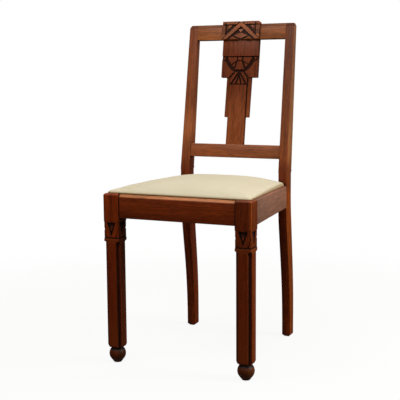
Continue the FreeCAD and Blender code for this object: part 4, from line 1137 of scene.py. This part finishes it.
def stripHeight(place, crossings, overFirst):
    hop = webbing["thick"] + webbing["gap"]
    rise = 0.0
    for number, crossing in enumerate(crossings):
        if (number % 2 == 0) == overFirst:
            off = abs(place - crossing) - webbing["width"] / 2
            share = min(1.0, max(0.0, 1.0 - off / webbing["ease"]))
            rise = max(rise, hop * share * share * (3 - 2 * share))
    return rise


def makeStrip(name, lengthwise, middle, start, end, crossings, overFirst, bottom, material):
    strip = addGrid(name, webbing["across"], webbing["steps"])
    uvs = strip.data.uv_layers.active
    for loop in strip.data.loops:
        place = strip.data.vertices[loop.vertex_index].co
        uvs.data[loop.index].uv = (place.x * webbing["width"] / 2, (place.y + 1) / 2 * (end - start))
    for vertex in strip.data.vertices:
        across = vertex.co.x * webbing["width"] / 2
        along = start + (vertex.co.y + 1) / 2 * (end - start)
        height = bottom + stripHeight(along, crossings, overFirst) + webbing["thick"] / 2
        vertex.co = (middle + across, along, height) if lengthwise else (along, middle - across, height)
    applyModifier(strip, "SOLIDIFY", thickness=webbing["thick"], offset=0.0)
    pickOnly(strip)
    bpy.ops.object.shade_smooth_by_angle(angle=webbing["smooth"])
    setMaterial(strip, material)
    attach(strip, "drop_in_seat")
    return strip


def makeWebbing():
    material = makeJute("juteWebbing", webbing)
    lengthLow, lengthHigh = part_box("webbing_lengthwise")
    crossLow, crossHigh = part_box("webbing_crosswise")
    half = webbing["width"] / 2
    count = webbing["count"]
    spanX = (lengthHigh.x - lengthLow.x - webbing["width"]) / (count - 1)
    spanY = (crossHigh.y - crossLow.y - webbing["width"]) / (count - 1)
    placesX = [lengthLow.x + half + spanX * i for i in range(count)]
    placesY = [crossLow.y + half + spanY * i for i in range(count)]
    for i, x in enumerate(placesX):
        name = "webbing_lengthwise_" + str(i + 1)
        makeStrip(name, True, x, lengthLow.y, lengthHigh.y, placesY, i % 2 == 0,
                                lengthLow.z, material)
    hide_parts("webbing_lengthwise")
    for i, y in enumerate(placesY):
        name = "webbing_crosswise_" + str(i + 1)
        reach = crossHigh.x - cushion["taper"] * (y - half - crossLow.y)
        makeStrip(name, False, y, -reach, reach, placesX, i % 2 == 1, crossLow.z, material)
    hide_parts("webbing_crosswise")


makeWebbing()
makeHessian()


def seenByCamera(tree):
    path = addNode(tree, "LightPath").outputs
    return maths("MAXIMUM", path["Is Camera Ray"], path["Is Transmission Ray"])


def mixShaders(factor, first, second):
    return addNode(factor.id_data, "MixShader", {0: factor, 1: first, 2: second}).outputs[0]


# Pale floor, white where the camera sees it, that keeps a soft shadow
floorLook = {"radius": 2.6, "sides": 96, "colour": (236, 235, 232), "seen": 0.9, "fade": (0.75, 1.7)}


def makeFloor():
    deselectAll()
    bpy.ops.mesh.primitive_circle_add(vertices=floorLook["sides"], radius=floorLook["radius"],
                                      fill_type="NGON")
    floor = bpy.context.object
    floor.name = "studio_floor"
    material = bpy.data.materials.new("paleFloor")
    material.use_nodes = True
    tree = material.node_tree
    tree.nodes.clear()
    away = vectorMaths("LENGTH", placeOn(tree))
    fade = remap(away, *floorLook["fade"], floorLook["seen"], 1.0)
    matt = addNode(tree, "BsdfDiffuse", {"Color": linear(*floorLook["colour"])}).outputs[0]
    white = addNode(tree, "Emission", {"Color": (1, 1, 1, 1), "Strength": 1.0}).outputs[0]
    both = mixShaders(times(seenByCamera(tree), fade), matt, white)
    under = addNode(tree, "NewGeometry").outputs["Backfacing"]
    both = mixShaders(under, both, addNode(tree, "BsdfTransparent").outputs[0])
    tree.links.new(both, addNode(tree, "OutputMaterial").inputs["Surface"])
    floor.data.materials.append(material)
    floor.visible_glossy = False
    floor.visible_diffuse = False


# Soft studio light: a wide lamp overhead, a stronger one further off at the right, and a dim room
worldLook = {"low": 0.045, "top": 0.5, "behind": 0.15, "right": 0.15, "below": 0.09,
             "colour": (255, 250, 244), "upRange": (-0.1, 0.8), "sideRange": (0.0, 0.9),
             "aboveRange": (-0.1, 0.25), "belowRange": (-0.3, -0.95)}
lampLooks = {
    "keyLamp": {"place": (-0.15, -0.9, 1.85), "aim": (0.0, 0.1, 0.65), "size": (1.3, 0.8), "power": 14.0},
    "rightLamp": {"place": (2.1, 0.25, 1.6), "aim": (0.0, 0.0, 0.4), "size": (0.9, 1.4), "power": 34.0},
}


def makeWorld():
    world = bpy.data.worlds.new("studioWorld")
    scene.world = world
    world.use_nodes = True
    tree = world.node_tree
    tree.nodes.clear()
    way = splitUp(placeOn(tree, "Generated"))
    high = remap(way[2], *worldLook["upRange"], worldLook["low"], worldLook["top"])
    behind = remap(way[1], *worldLook["sideRange"], 0.0, worldLook["behind"])
    right = remap(way[0], *worldLook["sideRange"], 0.0, worldLook["right"])
    above = times(maths("ADD", behind, right), remap(way[2], *worldLook["aboveRange"]))
    below = remap(way[2], *worldLook["belowRange"], 0.0, worldLook["below"])
    level = maths("ADD", maths("ADD", high, above), below)
    dim = addNode(tree, "Background", {"Color": linear(*worldLook["colour"]), "Strength": level}).outputs[0]
    white = addNode(tree, "Background", {"Color": (1, 1, 1, 1), "Strength": 1.0}).outputs[0]
    both = mixShaders(seenByCamera(tree), dim, white)
    tree.links.new(both, addNode(tree, "OutputWorld").inputs["Surface"])


def makeLamps():
    for name, look in lampLooks.items():
        light = bpy.data.lights.new(name, "AREA")
        light.shape = "RECTANGLE"
        light.size, light.size_y = look["size"]
        light.energy = look["power"]
        lamp = bpy.data.objects.new(name, light)
        scene.collection.objects.link(lamp)
        lamp.visible_camera = False
        lamp.location = look["place"]
        way = Vector(look["aim"]) - Vector(look["place"])
        lamp.rotation_euler = way.to_track_quat("-Z", "Y").to_euler()


makeFloor()
makeWorld()
makeLamps()
print("stage done")


# Camera where the photograph was taken from
view = {"place": (1.0139, -2.2773, 0.7694), "azimuth": 24.76, "pitch": 7.9, "roll": -0.40, "lens": 81.6,
        "sensor": 36.0}


def makeCamera():
    azimuth, pitch, roll = (math.radians(view[key]) for key in ("azimuth", "pitch", "roll"))
    ahead = Vector((-math.sin(azimuth) * math.cos(pitch), math.cos(azimuth) * math.cos(pitch),
                    -math.sin(pitch)))
    right = ahead.cross(Vector((0, 0, 1))).normalized()
    up = right.cross(ahead)
    across = right * math.cos(roll) + up * math.sin(roll)
    above = up * math.cos(roll) - right * math.sin(roll)
    lens = bpy.data.cameras.new("photoCamera")
    lens.lens = view["lens"]
    lens.sensor_width = view["sensor"]
    camera = bpy.data.objects.new("photoCamera", lens)
    scene.collection.objects.link(camera)
    turn = Matrix((across, above, -ahead)).transposed().to_4x4()
    camera.matrix_world = Matrix.Translation(Vector(view["place"])) @ turn
    scene.camera = camera


makeCamera()
print("camera set")

scene.view_settings.view_transform = "Standard"
